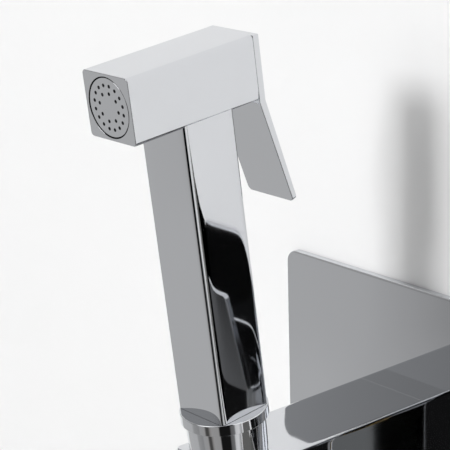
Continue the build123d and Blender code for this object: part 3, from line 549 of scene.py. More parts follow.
def noise_on_object(tree, scale, detail, stretch=None):
    """Noise on Object coordinates, which are stretched where that is asked for."""
    source = add_node(tree, "ShaderNodeTexCoord").outputs["Object"]
    if stretch:
        source = add_node(tree, "ShaderNodeMapping", {"Scale": stretch, "Vector": source}).outputs["Vector"]
    texture = add_node(tree, "ShaderNodeTexNoise", {"Scale": scale, "Detail": detail, "Vector": source})
    return texture.outputs["Fac"]


def ranged(tree, value, low, high):
    """Spreads the middle of a noise between two numbers."""
    return add_node(tree, "ShaderNodeMapRange", {
        "From Min": 0.3, "From Max": 0.7, "To Min": low, "To Max": high, "Value": value,
    }).outputs["Result"]


def mixed(tree, factor, first, second):
    """Mixes two colours."""
    inputs = {"Factor": factor, "A": first, "B": second}
    return add_node(tree, "ShaderNodeMix", inputs, data_type="RGBA").outputs["Result"]


def surface(name, colours, metallic, roughness, bump, mottle_scale, stretch=None):
    """Material with a mottled colour, an uneven roughness and a fine relief.

    colours and roughness are (low, high) pairs, and bump is (noise scale, detail, height in metres)."""
    found = bpy.data.materials.get(name)
    if found:
        return found
    material = bpy.data.materials.new(name)
    material.use_nodes = True
    tree = material.node_tree
    shader = tree.nodes["Principled BSDF"]
    shader.inputs["Metallic"].default_value = metallic
    mottle = noise_on_object(tree, mottle_scale, 4.0, stretch)
    scale, detail, height = bump
    relief = noise_on_object(tree, scale, detail, stretch)
    bumped = add_node(tree, "ShaderNodeBump", {"Distance": height, "Height": relief})
    first, second = [(*colour, 1.0) for colour in colours]
    tint = mixed(tree, ranged(tree, mottle, 0.0, 1.0), first, second)
    tree.links.new(tint, shader.inputs["Base Color"])
    tree.links.new(ranged(tree, mottle, *roughness), shader.inputs["Roughness"])
    tree.links.new(bumped.outputs["Normal"], shader.inputs["Normal"])
    return material


def darker(colour, factor):
    """Colour made darker."""
    return tuple(part * factor for part in colour)


def finishes():
    """All materials by the record's slot names."""
    chosen = bpy.context.scene.bidet_finish
    chrome = tuple(chosen.chrome_colour)
    brass = tuple(chosen.brass_colour)
    steel = tuple(chosen.steel_colour)
    plastic = tuple(chosen.plastic_colour)
    smooth = chosen.chrome_roughness
    return {
        "chrome": surface(
            "polished_chrome", (darker(chrome, 0.985), chrome), 1.0, (smooth, smooth + 0.035),
            (60.0, 1.0, 1.2e-5), 30.0,
        ),
        "brass": surface(
            "bare_brass", (darker(brass, 0.8), brass), 1.0, (0.24, 0.42),
            (2200.0, 3.0, 1.5e-5), 140.0,
        ),
        "steel": surface(
            "stainless_steel", (darker(steel, 0.85), steel), 1.0, (0.26, 0.4),
            (1500.0, 2.0, 8e-6), 260.0, (1.0, 12.0, 12.0),
        ),
        "black_rubber": surface(
            "black_rubber", ((0.012, 0.012, 0.012), (0.03, 0.03, 0.03)), 0.0, (0.5, 0.7),
            (1800.0, 3.0, 2e-5), 300.0,
        ),
        "grey_foam": surface(
            "grey_foam", ((0.12, 0.12, 0.125), (0.26, 0.26, 0.27)), 0.0, (0.85, 0.95),
            (1400.0, 4.0, 1.5e-4), 900.0,
        ),
        "white_plastic": surface(
            "white_plastic", (darker(plastic, 0.93), plastic), 0.0, (0.36, 0.5),
            (1600.0, 2.0, 8e-6), 120.0,
        ),
        "black_plastic": surface(
            "black_plastic", ((0.015, 0.015, 0.016), (0.03, 0.03, 0.032)), 0.0, (0.3, 0.45),
            (1600.0, 2.0, 8e-6), 200.0,
        ),
        "ceramic": surface(
            "white_ceramic", ((0.78, 0.77, 0.73), (0.86, 0.85, 0.81)), 0.0, (0.08, 0.16),
            (900.0, 2.0, 3e-6), 400.0,
        ),
    }


# Geometry Nodes trees

def new_tree(name, inputs):
    """Geometry Nodes tree with a geometry output and named inputs, given as (name, kind, default)."""
    tree = bpy.data.node_groups.new(name, "GeometryNodeTree")
    tree.interface.new_socket("Geometry", in_out="OUTPUT", socket_type="NodeSocketGeometry")
    for label, kind, default in inputs:
        socket = tree.interface.new_socket(label, in_out="INPUT", socket_type="NodeSocket" + kind)
        if default is not None:
            socket.default_value = default
    given = tree.nodes.new("NodeGroupInput").outputs
    return tree, given, tree.nodes.new("NodeGroupOutput").inputs["Geometry"]


def close_tree(tree, geometry, material, target):
    """Ends a tree in Realize Instances and Set Material."""
    realized = add_node(tree, "GeometryNodeRealizeInstances", {"Geometry": geometry})
    inputs = {"Geometry": realized.outputs["Geometry"], "Material": material}
    painted = add_node(tree, "GeometryNodeSetMaterial", inputs)
    tree.links.new(painted.outputs["Geometry"], target)


def run_tree(carrier, tree, values):
    """Runs a tree on an object with named values and keeps the result as its plain mesh."""
    step = carrier.modifiers.new(tree.name, "NODES")
    step.node_group = tree
    for item in tree.interface.items_tree:
        if item.in_out == "INPUT" and item.name in values:
            step[item.identifier] = values[item.name]
    carrier.update_tag()
    keep_result(carrier, step)


def spray_hole_tree():
    """Cuts two circles of round holes through a face that lies flat."""
    tree, given, target = new_tree("spray_holes", (
        ("Face", "Geometry", None),
        ("Outer Holes", "Int", 16),
        ("Outer Circle", "Float", 0.0064),
        ("Inner Holes", "Int", 8),
        ("Inner Circle", "Float", 0.00415),
        ("Hole Radius", "Float", 0.0004),
        ("Hole Depth", "Float", 0.003),
        ("Material", "Material", None),
    ))
    drill = add_node(tree, "GeometryNodeMeshCylinder", {
        "Vertices": 20, "Radius": given["Hole Radius"], "Depth": given["Hole Depth"],
    })
    both = add_node(tree, "GeometryNodeJoinGeometry")
    for circle in ("Outer", "Inner"):
        places = add_node(tree, "GeometryNodeMeshCircle", {
            "Vertices": given[circle + " Holes"], "Radius": given[circle + " Circle"],
        })
        drills = add_node(tree, "GeometryNodeInstanceOnPoints", {
            "Points": places.outputs["Mesh"], "Instance": drill.outputs["Mesh"],
        })
        tree.links.new(drills.outputs["Instances"], both.inputs["Geometry"])
    drilled = add_node(tree, "GeometryNodeRealizeInstances", {"Geometry": both.outputs["Geometry"]})
    cut = add_node(tree, "GeometryNodeMeshBoolean", {
        "Mesh 1": given["Face"], "Mesh 2": drilled.outputs["Geometry"],
    }, operation="DIFFERENCE", solver="EXACT")
    close_tree(tree, cut.outputs["Mesh"], given["Material"], target)
    return tree


def coil_tree():
    """Round wire or pointed ridge wound into a helix about Z."""
    tree, given, target = new_tree("coil", (
        ("Geometry", "Geometry", None),
        ("Turns", "Float", 6.0),
        ("Coil Radius", "Float", 0.003),
        ("Coil Length", "Float", 0.008),
        ("Wire Radius", "Float", 0.0004),
        ("Wire Sides", "Int", 12),
        ("Steps Per Turn", "Int", 32),
        ("Material", "Material", None),
    ))
    spiral = add_node(tree, "GeometryNodeCurveSpiral", {
        "Resolution": given["Steps Per Turn"], "Rotations": given["Turns"], "Height": given["Coil Length"],
        "Start Radius": given["Coil Radius"], "End Radius": given["Coil Radius"],
    })
    steady = add_node(tree, "GeometryNodeSetCurveNormal", {"Curve": spiral.outputs["Curve"]}, mode="Z_UP")
    section = add_node(tree, "GeometryNodeCurvePrimitiveCircle", {
        "Resolution": given["Wire Sides"], "Radius": given["Wire Radius"],
    })
    wound = add_node(tree, "GeometryNodeCurveToMesh", {
        "Curve": steady.outputs["Curve"], "Profile Curve": section.outputs["Curve"], "Fill Caps": True,
    })
    close_tree(tree, wound.outputs["Mesh"], given["Material"], target)
    return tree


def copies_tree():
    """Copies of one object on the points of another."""
    tree, given, target = new_tree("copies_on_points", (
        ("Points", "Geometry", None),
        ("Object", "Object", None),
        ("Material", "Material", None),
    ))
    one = add_node(tree, "GeometryNodeObjectInfo", {"Object": given["Object"]}, transform_space="ORIGINAL")
    copies = add_node(tree, "GeometryNodeInstanceOnPoints", {
        "Points": given["Points"], "Instance": one.outputs["Geometry"],
    })
    close_tree(tree, copies.outputs["Instances"], given["Material"], target)
    return tree


def tree_named(name, make):
    """Tree of that name, made the first time."""
    return bpy.data.node_groups.get(name) or make()


def points_object(name, points):
    """Object that holds only points, given in millimetres."""
    data = bpy.data.meshes.new(name)
    data.from_pydata([Vector(p) * MM for p in points], [], [])
    return add_object(name, data)


def move_mesh(piece, place):
    """Moves a mesh that is in metres to a place in millimetres."""
    piece.data.transform(Matrix.Scale(MM, 4) @ place @ Matrix.Scale(1 / MM, 4))


def wound_coil(name, turns, radius, length, wire, place, slot, sides=12, steps=36):
    """Helix about Z from height 0, in millimetres, laid in its place."""
    carrier = points_object(name, [(0.0, 0.0, 0.0)])
    run_tree(carrier, tree_named("coil", coil_tree), {
        "Turns": turns, "Coil Radius": radius * MM, "Coil Length": length * MM, "Wire Radius": wire * MM,
        "Wire Sides": sides, "Steps Per Turn": steps, "Material": finishes()[slot],
    })
    move_mesh(carrier, place)
    return carrier


def bent_plate(half_width, start, inner, bend, leg, edge):
    """Flat plate that runs down from start, bends outwards and ends in a leg with rounded corners."""
    half = LEVER_THICKNESS / 2
    middle = inner + half
    setback = half * math.tan(LEVER_FLARE / 2)
    corner_z = bend - setback
    reach = LEVER_BEND * math.tan(LEVER_FLARE / 2)
    length = leg - setback
    path = []
    for t in quarter_turn(3):
        inset = edge * (1 - math.sin(t))
        path.append((middle, start - edge * (1 - math.cos(t)), 0.0, half_width - inset, half - inset))
    steps = 8
    for step in range(steps + 1):
        turned = LEVER_FLARE * step / steps
        y = middle + LEVER_BEND * (1 - math.cos(turned))
        z = corner_z + reach - LEVER_BEND * math.sin(turned)
        path.append((y, z, turned, half_width, half))
    steps = 10
    for step, t in enumerate(quarter_turn(steps)):
        along = length - LEVER_CORNER * (1 - math.sin(t))
        width = half_width - LEVER_CORNER * (1 - math.cos(t))
        thin = half - LEVER_TIP_THICKNESS / 2 * along / length - half * (1 - along / length)
        if step == steps:
            thin += edge * 0.5
        y = middle + math.sin(LEVER_FLARE) * along
        z = corner_z - math.cos(LEVER_FLARE) * along
        path.append((y, z, LEVER_FLARE, width, half - thin))
    rings = []
    for y, z, turned, width, thickness in path:
        outline = cornered_outline(width, thickness, min(edge, thickness * 0.6))
        rings.append([(a, y + b * math.cos(turned), z + b * math.sin(turned)) for a, b in outline])
    return skin(rings)


class OBJECT_OT_bidet_head(bpy.types.Operator):
    """Makes the head of the hand shower and its holed spray face."""

    bl_idname = "object.bidet_head"
    bl_label = "Head and Spray Face"

    def execute(self, context):
        shape = context.scene.bidet_shape
        axis = (0.0, HEAD_AXIS)
        edge = (shape.head_corner, shape.head_roll, LATE)

        def outer(inset):
            grown = shape.head_crown - inset
            return soft_outline(HEAD_HALF + grown, HEAD_HEIGHT / 2 + grown, edge, edge, axis)

        pocket = square_outline(8.0, 8.0, 40.0, (0.0, HEAD_BASE + 9.1))
        stations = circles((
            (SPRAY_BORE + 0.05, HEAD_FRONT), (SPRAY_BORE, HEAD_FRONT + 0.05),
            (SPRAY_BORE, HEAD_FRONT + 9.0), (7.5, HEAD_FRONT + 9.0),
            (7.5, HEAD_FRONT + 15.0), (3.5, HEAD_FRONT + 15.0),
            (3.5, HEAD_FRONT + 21.0), (6.0, HEAD_FRONT + 21.0),
            (6.0, POCKET_FRONT - 6.0), (7.2, POCKET_FRONT - 6.0), (7.2, POCKET_FRONT),
        ), axis)
        stations += [(pocket, POCKET_FRONT), (pocket, HEAD_BACK)]
        stations += end_roll(outer, HEAD_BACK, -1, 0.12)
        stations += reversed(end_roll(outer, HEAD_FRONT, 1, 0.25))
        mesh = stack(stations, inward, closed=True)
        # The lowest 3.2 mm of the back come in by up to 0.46 mm, down to the handle.
        for point in mesh.verts:
            share = (point.co.z - HEAD_BASE) / 3.2
            if share < 1:
                point.co.y = min(point.co.y, HEAD_BACK - 0.46 * (1 - share))
        head = to_object("shower_head", mesh, IN_HAND)
        carve(head, round_bar(6.0, HEAD_BASE - 1.0, HEAD_AXIS - 3.0, place=IN_HAND))
        finish_piece(head, "hand_shower", "chrome", "head_body")

        cup = circles((
            (SPRAY_RIM - 0.06, SPRAY_FRONT), (SPRAY_RIM, SPRAY_FRONT + 0.06), (SPRAY_RIM, SPRAY_BACK),
            (7.4, SPRAY_BACK), (7.4, SPRAY_FLOOR + 2.05), (6.95, SPRAY_FLOOR + 2.05), (6.95, SPRAY_FLOOR),
        ), axis)
        # The cup lies flat about Z while its holes are cut, and is then laid in its place.
        lay = Matrix.Translation((0.0, SPRAY_FRONT, HEAD_AXIS)) @ Matrix.Rotation(math.radians(-90), 4, "X")
        lay = lay @ Matrix.Rotation(math.radians(shape.spray_turn), 4, "Z")
        face = to_object("spray_face_holed", stack(cup, inward), lay.inverted())
        run_tree(face, tree_named("spray_holes", spray_hole_tree), {
            "Outer Holes": shape.outer_holes, "Outer Circle": 6.4 * MM,
            "Inner Holes": shape.inner_holes, "Inner Circle": 4.15 * MM,
            "Hole Radius": shape.hole_radius * MM, "Hole Depth": 4.4 * MM, "Material": finishes()["chrome"],
        })
        move_mesh(face, IN_HAND @ lay)
        finish_piece(face, "hand_shower", "chrome", "spray_face")
        return {"FINISHED"}


class OBJECT_OT_bidet_thumb_lever(bpy.types.Operator):
    """Makes the bent thumb lever with its tongue and fork."""

    bl_idname = "object.bidet_thumb_lever"
    bl_label = "Thumb Lever"

    def execute(self, context):
        edge = context.scene.bidet_shape.lever_edge
        mesh = bent_plate(HEAD_HALF, HEAD_BASE + HEAD_HEIGHT, LEVER_INNER, HEAD_BASE - 0.7, 34.6, edge)
        lever = to_object("thumb_lever_plate", mesh, IN_HAND)
        pin_y, pin_z = PIVOT
        root = LEVER_INNER + LEVER_THICKNESS / 2
        fork = POCKET_FRONT + 1.45
        web = fork + 1.0
        axis = HEAD_AXIS
        for part, operation in (
            (block(2.0, pin_y, root, pin_z - 1.3, pin_z + 1.75, IN_HAND), "UNION"),
            (round_bar(1.75, -2.0, 2.0, sideways, PIVOT, IN_HAND, HOLE_POINTS), "UNION"),
            (block(4.2, fork, root, axis - 3, axis + 3, IN_HAND), "UNION"),
            (block(2.7, web, LEVER_INNER - 0.01, axis - 4, axis + 4, IN_HAND), "DIFFERENCE"),
            (block(1.4, fork - 1, web + 0.5, axis - 4, axis, IN_HAND), "DIFFERENCE"),
            (round_bar(1.4, fork - 1, web + 0.5, inward, (0.0, axis), IN_HAND, HOLE_POINTS), "DIFFERENCE"),
            (round_bar(0.96, -3.0, 3.0, sideways, PIVOT, IN_HAND, HOLE_POINTS), "DIFFERENCE"),
        ):
            carve(lever, part, operation)
        finish_piece(lever, "thumb_lever_body", "chrome", "thumb_lever")
        return {"FINISHED"}


class OBJECT_OT_bidet_handle(bpy.types.Operator):
    """Makes the square handle, its collar and the hose nut."""

    bl_idname = "object.bidet_handle"
    bl_label = "Handle, Collar and Nut"

    def execute(self, context):
        shape = context.scene.bidet_shape
        side = (shape.side_corner, shape.side_roll, LATE)
        front = (shape.handle_corner, shape.handle_roll, EARLY)

        def outer(inset):
            grown = shape.handle_crown - inset
            return soft_outline(HEAD_HALF + grown, HANDLE_DEPTH_HALF + grown, side, front)

        stations = circles((
            (7.0, HANDLE_LOW), (7.0, 12.0), (4.5, 12.0), (4.5, HEAD_BASE - 9.0), (6.0, HEAD_BASE - 9.0),
            (6.0, HEAD_BASE - 1.8), (8.0, HEAD_BASE - 1.8), (8.0, HANDLE_TOP),
        ))
        stations += end_roll(outer, HANDLE_TOP, -1, 0.05)
        stations += reversed(end_roll(outer, HANDLE_LOW, 1, 0.08))
        handle = to_object("square_handle", stack(stations, upright, closed=True), IN_HAND)
        finish_piece(handle, "hand_shower", "chrome", "handle_body")

        rim = round_side(COLLAR_RADIUS)
        stations = circles(((7.0, COLLAR_LOW), (7.0, 0.0)))
        stations += end_roll(rim, 0.0, -1, 0.3)
        stations += reversed(end_roll(rim, COLLAR_LOW, 1, 0.12))
        collar = to_object("round_collar", stack(stations, upright, closed=True), IN_HAND)
        finish_piece(collar, "hand_shower", "chrome", "handle_collar")

        # The nut's thin rim hides the edge of the flange that it draws up.
        stations = circles((
            (7.5, NUT_LOW), (7.5, THREAD_LOW), (10.53, THREAD_LOW), (10.53, FLANGE_LOW),
            (12.05, FLANGE_LOW), (12.05, NUT_TOP),
        ))
        stations += end_roll(round_side(NUT_RADIUS), NUT_TOP, -1, 0.15)
        stations.append((round_outline(NUT_SHOULDER_RADIUS), NUT_SHOULDER))
        stations += reversed(end_roll(round_side(9.69), NUT_LOW, 1, 0.8))
        nut = to_object("tapered_hose_nut", stack(stations, upright, closed=True), IN_HAND)
        finish_piece(nut, "hand_shower", "chrome", "hose_nut")
        return {"FINISHED"}


class OBJECT_OT_bidet_bar(bpy.types.Operator):
    """Makes the holder bar with its open socket, and the sleeve at the plate."""

    bl_idname = "object.bidet_bar"
    bl_label = "Holder Bar and Sleeve"

    def execute(self, context):
        shape = context.scene.bidet_shape
        outer = square_side(BAR_HALF, shape.bar_power)
        low = -BAR_HALF - 1.0
        stations = [
            (outer(JOINT_EDGE), JOINT),
            (outer(0.0), JOINT - JOINT_EDGE),
            (outer(0.0), BAR_TIP + BAR_END_ROLL),
        ]
        # The upright edges of the tip are rounded, and those above and below only broken.
        steps = 12
        for step, t in enumerate(quarter_turn(steps)[1:], 1):
            half = BAR_HALF - BAR_END_ROLL * (1 - math.cos(t))
            lower = 0.15 if step == steps else 0.0
            ring = square_outline(half, BAR_HALF - lower, shape.bar_power)
            stations.append((ring, BAR_TIP + BAR_END_ROLL * (1 - math.sin(t))))
        bar = to_object("open_holder_bar", stack(stations, inward), IN_BAR)
        for radius, start, end, to_point, at in (
            (5.0, OUTLET_Y - 5.0, JOINT + 1.0, inward, (0.0, 0.0)),
            (10.5, JOINT - 13.6, JOINT + 1.0, inward, (0.0, 0.0)),
            (8.3, low, -BAR_HALF + 10.0, upright, (0.0, OUTLET_Y)),
            (5.0, low, 0.0, upright, (0.0, OUTLET_Y)),
            (2.55, low, -9.5, upright, (0.0, JOINT - 4.5)),
        ):
            carve(bar, round_bar(radius, start, end, to_point, at, IN_BAR))

        def nut_space(gap):
            return stack(circles((
                (NUT_RADIUS + gap, FLANGE_LOW), (NUT_SHOULDER_RADIUS + gap, NUT_SHOULDER),
                (9.6 + gap, NUT_LOW), (9.6 + gap, NUT_LOW - 29.0),
            )), upright)

        carve(bar, to_object("cutter", nut_space(0.2), IN_HAND))
        # The liner's wider room ends under a thin lip of the bar's top.
        lined = nut_space(0.75)
        lined.transform(IN_HAND)
        cut = bmesh.ops.bisect_plane(
            lined, geom=lined.verts[:] + lined.edges[:] + lined.faces[:], dist=1e-6,
            plane_co=(0.0, 0.0, BAR_HALF - 1.2), plane_no=(0.0, 0.0, 1.0), clear_outer=True,
        )
        rim = [part for part in cut["geom_cut"] if isinstance(part, bmesh.types.BMEdge)]
        bmesh.ops.contextual_create(lined, geom=rim)
        bmesh.ops.recalc_face_normals(lined, faces=lined.faces[:])
        carve(bar, to_object("cutter", lined))
        # The slot at the tip lets the hose in.
        carve(bar, block(7.5, BAR_TIP - 1.0, -85.74, low, -low, IN_BAR))
        finish_piece(bar, "wall_set", "chrome", "holder_bar")
        lean_top(bar, shape.bar_lean)

        stations = circles(((11.0, PLATE_FRONT), (11.0, JOINT)))
        stations += [
            (outer(JOINT_EDGE), JOINT),
            (outer(0.0), JOINT + JOINT_EDGE),
            (outer(0.0), PLATE_FRONT),
        ]
        sleeve = to_object("square_sleeve", stack(stations, inward, closed=True), IN_BAR)
        finish_piece(sleeve, "wall_set", "chrome", "bar_sleeve")
        lean_top(sleeve, shape.bar_lean)
        return {"FINISHED"}


class OBJECT_OT_bidet_plate(bpy.types.Operator):
    """Makes the wall plate with its rounded edge and the recess for the gasket."""

    bl_idname = "object.bidet_plate"
    bl_label = "Wall Plate"

    def execute(self, context):
        half_width, half_height = PLATE_HALF

        def outer(inset):
            corner = max(PLATE_CORNER - inset, 3.0)
            return cornered_outline(half_width - inset, half_height - inset, corner)

        stations = end_roll(outer, PLATE_FRONT, 1, context.scene.bidet_shape.plate_roll)
        stations += [(outer(0.0), 0.0), (outer(3.0), 0.0), (outer(3.0), -1.0)]
        plate = to_object("rounded_wall_plate", stack(stations, inward))
        carve(plate, round_bar(12.0, -4.0, 1.0, inward, (BAR_X, 0.0)))
        carve(plate, round_bar(21.5, -4.0, 1.0, inward, (CONTROL_X, 0.0)))
        finish_piece(plate, "wall_set", "chrome", "wall_plate")
        return {"FINISHED"}


class OBJECT_OT_bidet_control(bpy.types.Operator):
    """Makes the control's trim block, hub and lever."""

    bl_idname = "object.bidet_control"
    bl_label = "Mixer Control"

    def execute(self, context):
        # The trim block's opening is part of a ball about the lever's pivot.
        ball_radius = 9.6
        ball_depth = 4.0
        ball_low = TRIM_FRONT - ball_depth
        side = square_side(TRIM_HALF, 50.0)
        stations = circles(((22.0, TRIM_BACK), (22.0, ball_low)))
        steps = 8
        for step in range(steps + 1):
            height = ball_low + ball_depth * step / steps
            radius = math.sqrt(ball_radius ** 2 - (height - PIVOT_OUT) ** 2)
            stations.append((round_outline(radius), height))
        stations += end_roll(side, TRIM_FRONT, -1, 1.2)
        stations.append((side(0.0), TRIM_BACK))
        trim = to_object("square_trim_block", stack(stations, upright, closed=True), IN_CONTROL)
        carve(trim, round_bar(2.55, -TRIM_HALF - 1.0, -20.0, inward, (0.0, 8.0), IN_CONTROL, HOLE_POINTS))
        finish_piece(trim, "wall_set", "chrome", "trim_block")

        side = square_side(HUB_HALF, 26.0)
        socket = square_outline(2.85, 2.85, 60.0)
        stations = [(socket, 38.5), (socket, HUB_LOW)]
        stations += end_roll(side, HUB_LOW, 1, 0.3)
        stations += reversed(end_roll(side, HUB_HIGH, -1, 0.15))
        hub = to_object("square_lever_hub", stack(stations, upright), IN_CONTROL)
        at = (0.0, (HUB_LOW + HUB_HIGH) / 2)
        carve(hub, round_bar(3.0, -12.0, -10.0, inward, at, IN_CONTROL, HOLE_POINTS))
        carve(hub, round_bar(2.05, -10.5, 0.0, inward, at, IN_CONTROL, HOLE_POINTS))
        finish_piece(hub, "control_lever_body", "chrome", "lever_hub")

        edge = context.scene.bidet_shape.lever_edge
        plate = bent_plate(HUB_HALF, HUB_HALF, HUB_HIGH, 1.0 - HUB_HALF, 38.0, edge)
        lever = to_object("bent_control_lever", plate, IN_LEVER)
        finish_piece(lever, "control_lever_body", "chrome", "control_lever")
        return {"FINISHED"}


class OBJECT_OT_bidet_outlet(bpy.types.Operator):
    """Makes the hose outlet under the bar with its thread."""

    bl_idname = "object.bidet_outlet"
    bl_label = "Hose Outlet"

    def execute(self, context):
        at = (0.0, OUTLET_Y)
        low = OUTLET_LOW
        stations = circles(((5.0, low), (9.3, low), (9.7, low + 0.4), (9.7, low + 11.0)), at)
        stations += end_roll(round_side(12.0, at), low + 11.0, 1, 0.3)
        stations += circles((
            (12.0, -BAR_HALF), (8.25, -BAR_HALF), (8.25, -BAR_HALF + 9.0), (5.0, -BAR_HALF + 9.0),
        ), at)
        nipple = to_object("hose_outlet_nipple", stack(stations, upright, closed=True), IN_BAR)
        finish_piece(nipple, "wall_set", "brass", "outlet_nipple")
        place = IN_BAR @ Matrix.Translation((0.0, OUTLET_Y, low + 0.7))
        thread = wound_coil("hose_outlet_thread", 5.3, 9.75, 9.6, 0.72, place, "brass", 4, 64)
        finish_piece(thread, "wall_set", "brass")
        return {"FINISHED"}


class OBJECT_OT_bidet_springs(bpy.types.Operator):
    """Winds the valve spring and the two check valve springs."""

    bl_idname = "object.bidet_springs"
    bl_label = "Springs"

    def execute(self, context):
        along = Matrix.Translation((0.0, 0.9, HEAD_AXIS)) @ Matrix.Rotation(math.radians(-90), 4, "X")
        spring = wound_coil("valve_spring_coil", 6.0, 2.9, 7.7, 0.35, IN_HAND @ along, "steel")
        finish_piece(spring, "hand_shower", "steel", "valve_spring")
        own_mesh(spring)
        for water, x in (("hot", 16.0), ("cold", 56.0)):
            place = Matrix.Translation((x, CHECK_Y, -24.75))
            spring = wound_coil(water + "_check_coil", 5.0, 2.4, 6.55, 0.35, place, "steel")
            finish_piece(spring, "wall_set", "steel", water + "_check_spring")
            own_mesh(spring)
        return {"FINISHED"}


class OBJECT_OT_bidet_screws(bpy.types.Operator):
    """Sets the cap screws of the mounting bracket."""

    bl_idname = "object.bidet_screws"
    bl_label = "Bracket Screws"

    def execute(self, context):
        socket = hexagon_outline(2.0)
        stations = [(socket, 0.65), (socket, 0.0)]
        stations += end_roll(round_side(2.2), 0.0, 1, 0.25)
        stations += circles(((2.2, 1.3), (1.2, 1.3), (1.2, 7.6), (0.9, 7.9)))
        screw = to_object("one_screw", stack(stations, inward))
        places = [(BAR_X, SCREW_Y, SCREW_Z), (BAR_X, SCREW_Y, -SCREW_Z)]
        reach = 23.7 * math.cos(math.radians(45))
        places += [(CONTROL_X + x, SCREW_Y, z) for x in (-reach, reach) for z in (-reach, reach)]
        screws = points_object("bracket_cap_screws", places)
        run_tree(screws, tree_named("copies_on_points", copies_tree), {
            "Object": screw, "Material": finishes()["steel"],
        })
        bpy.data.objects.remove(screw)
        finish_piece(screws, "wall_set", "steel", "bracket_screws")
        return {"FINISHED"}


class OBJECT_OT_bidet_frame_finishes(bpy.types.Operator):
    """Gives every node of the frame that stays the finish of its slot."""

    bl_idname = "object.bidet_frame_finishes"
    bl_label = "Finishes of the Frame"

    def execute(self, context):
        finish = finishes()
        for part in frame["record"]["subparts"]:
            node = frame["nodes"][part["node"]]
            for slot in node.material_slots:
                slot.material = finish[part["material_slot"]]
        return {"FINISHED"}


# Stage

def plain_stage_material(name, colour, roughness):
    """Even matt surface for wall and floor."""
    material = bpy.data.materials.new(name)
    material.use_nodes = True
    shader = material.node_tree.nodes["Principled BSDF"]
    shader.inputs["Base Color"].default_value = (*colour, 1.0)
    shader.inputs["Roughness"].default_value = roughness
    shader.inputs["Specular IOR Level"].default_value = 0.0
    return material


def empty_material(name):
    """Material with no nodes yet."""
    material = bpy.data.materials.new(name)
    material.use_nodes = True
    material.node_tree.nodes.clear()
    return material


def end_in_glow(tree, colour, strength):
    """Ends a material in plain light of a colour."""
    glow = add_node(tree, "ShaderNodeEmission", {"Color": colour, "Strength": strength})
    add_node(tree, "ShaderNodeOutputMaterial", {"Surface": glow.outputs["Emission"]})


def stage_plane(name, corners, material):
    """Flat piece of the stage, its corners in metres."""
    data = bpy.data.meshes.new(name)
    data.from_pydata(corners, [], [(0, 1, 2, 3)])
    data.materials.append(material)
    made = add_object(name, data)
    return made


def show_to_mirrors(made):
    """Hides a piece of the stage from everything but mirrors."""
    made.visible_camera = False
    made.visible_diffuse = False
    made.visible_shadow = False
    made.visible_transmission = False


def grey(level, warm=0.0):
    """Grey for the reflected room, halved because its light is doubled, and warmed or cooled a little."""
    return (level * (0.5 + warm), level * 0.5, level * (0.5 - warm))


def tone_ramp(tree, stops, source):
    """Greys along an azimuth from -180 to 180 degrees."""
    ramp = add_node(tree, "ShaderNodeValToRGB", {"Fac": source})
    parts = ramp.color_ramp.elements
    for index, (azimuth, *tone) in enumerate(stops):
        place = (azimuth + 180) / 360
        part = parts[index] if index < 2 else parts.new(place)
        part.position = place
        part.color = (*grey(*tone), 1.0)
    return ramp.outputs["Color"]


# The reflected room below, level with and above the chrome, as (azimuth in degrees, grey, warmth)
LOW_ROOM = (
    (-180, 0.55), (-60, 0.53), (-50, 0.53), (-43, 0.37), (-26, 0.31), (-22, 0.4), (-8, 0.39, 0.01),
    (-3, 0.08, 0.02), (4, 0.08, 0.02), (9, 0.3, 0.02), (14, 0.38, 0.01), (33, 0.36, 0.01), (36, 0.01),
    (63, 0.01), (66, 0.14), (75, 0.2), (78, 0.7), (86, 0.8), (92, 0.5), (98, 0.15), (104, 0.25),
    (112, 0.5), (130, 0.6), (180, 0.7),
)
HIGH_ROOM = (
    (-180, 0.55), (-58, 0.53), (-48, 0.49), (-42, 0.27), (-24, 0.25), (-20, 0.7), (4, 0.7), (8, 0.3),
    (23, 0.4), (27, 0.004), (71, 0.004), (74, 0.85), (100, 1.0), (130, 0.7), (180, 0.55),
)
SKY_ROOM = (
    (-180, 0.6), (-60, 0.42), (-50, 0.38), (-43, 0.27), (-26, 0.3), (-21, 1.9), (6, 1.9), (11, 0.5),
    (30, 0.4), (36, 0.01), (64, 0.01), (70, 1.1), (110, 1.25), (150, 1.0), (180, 0.7),
)


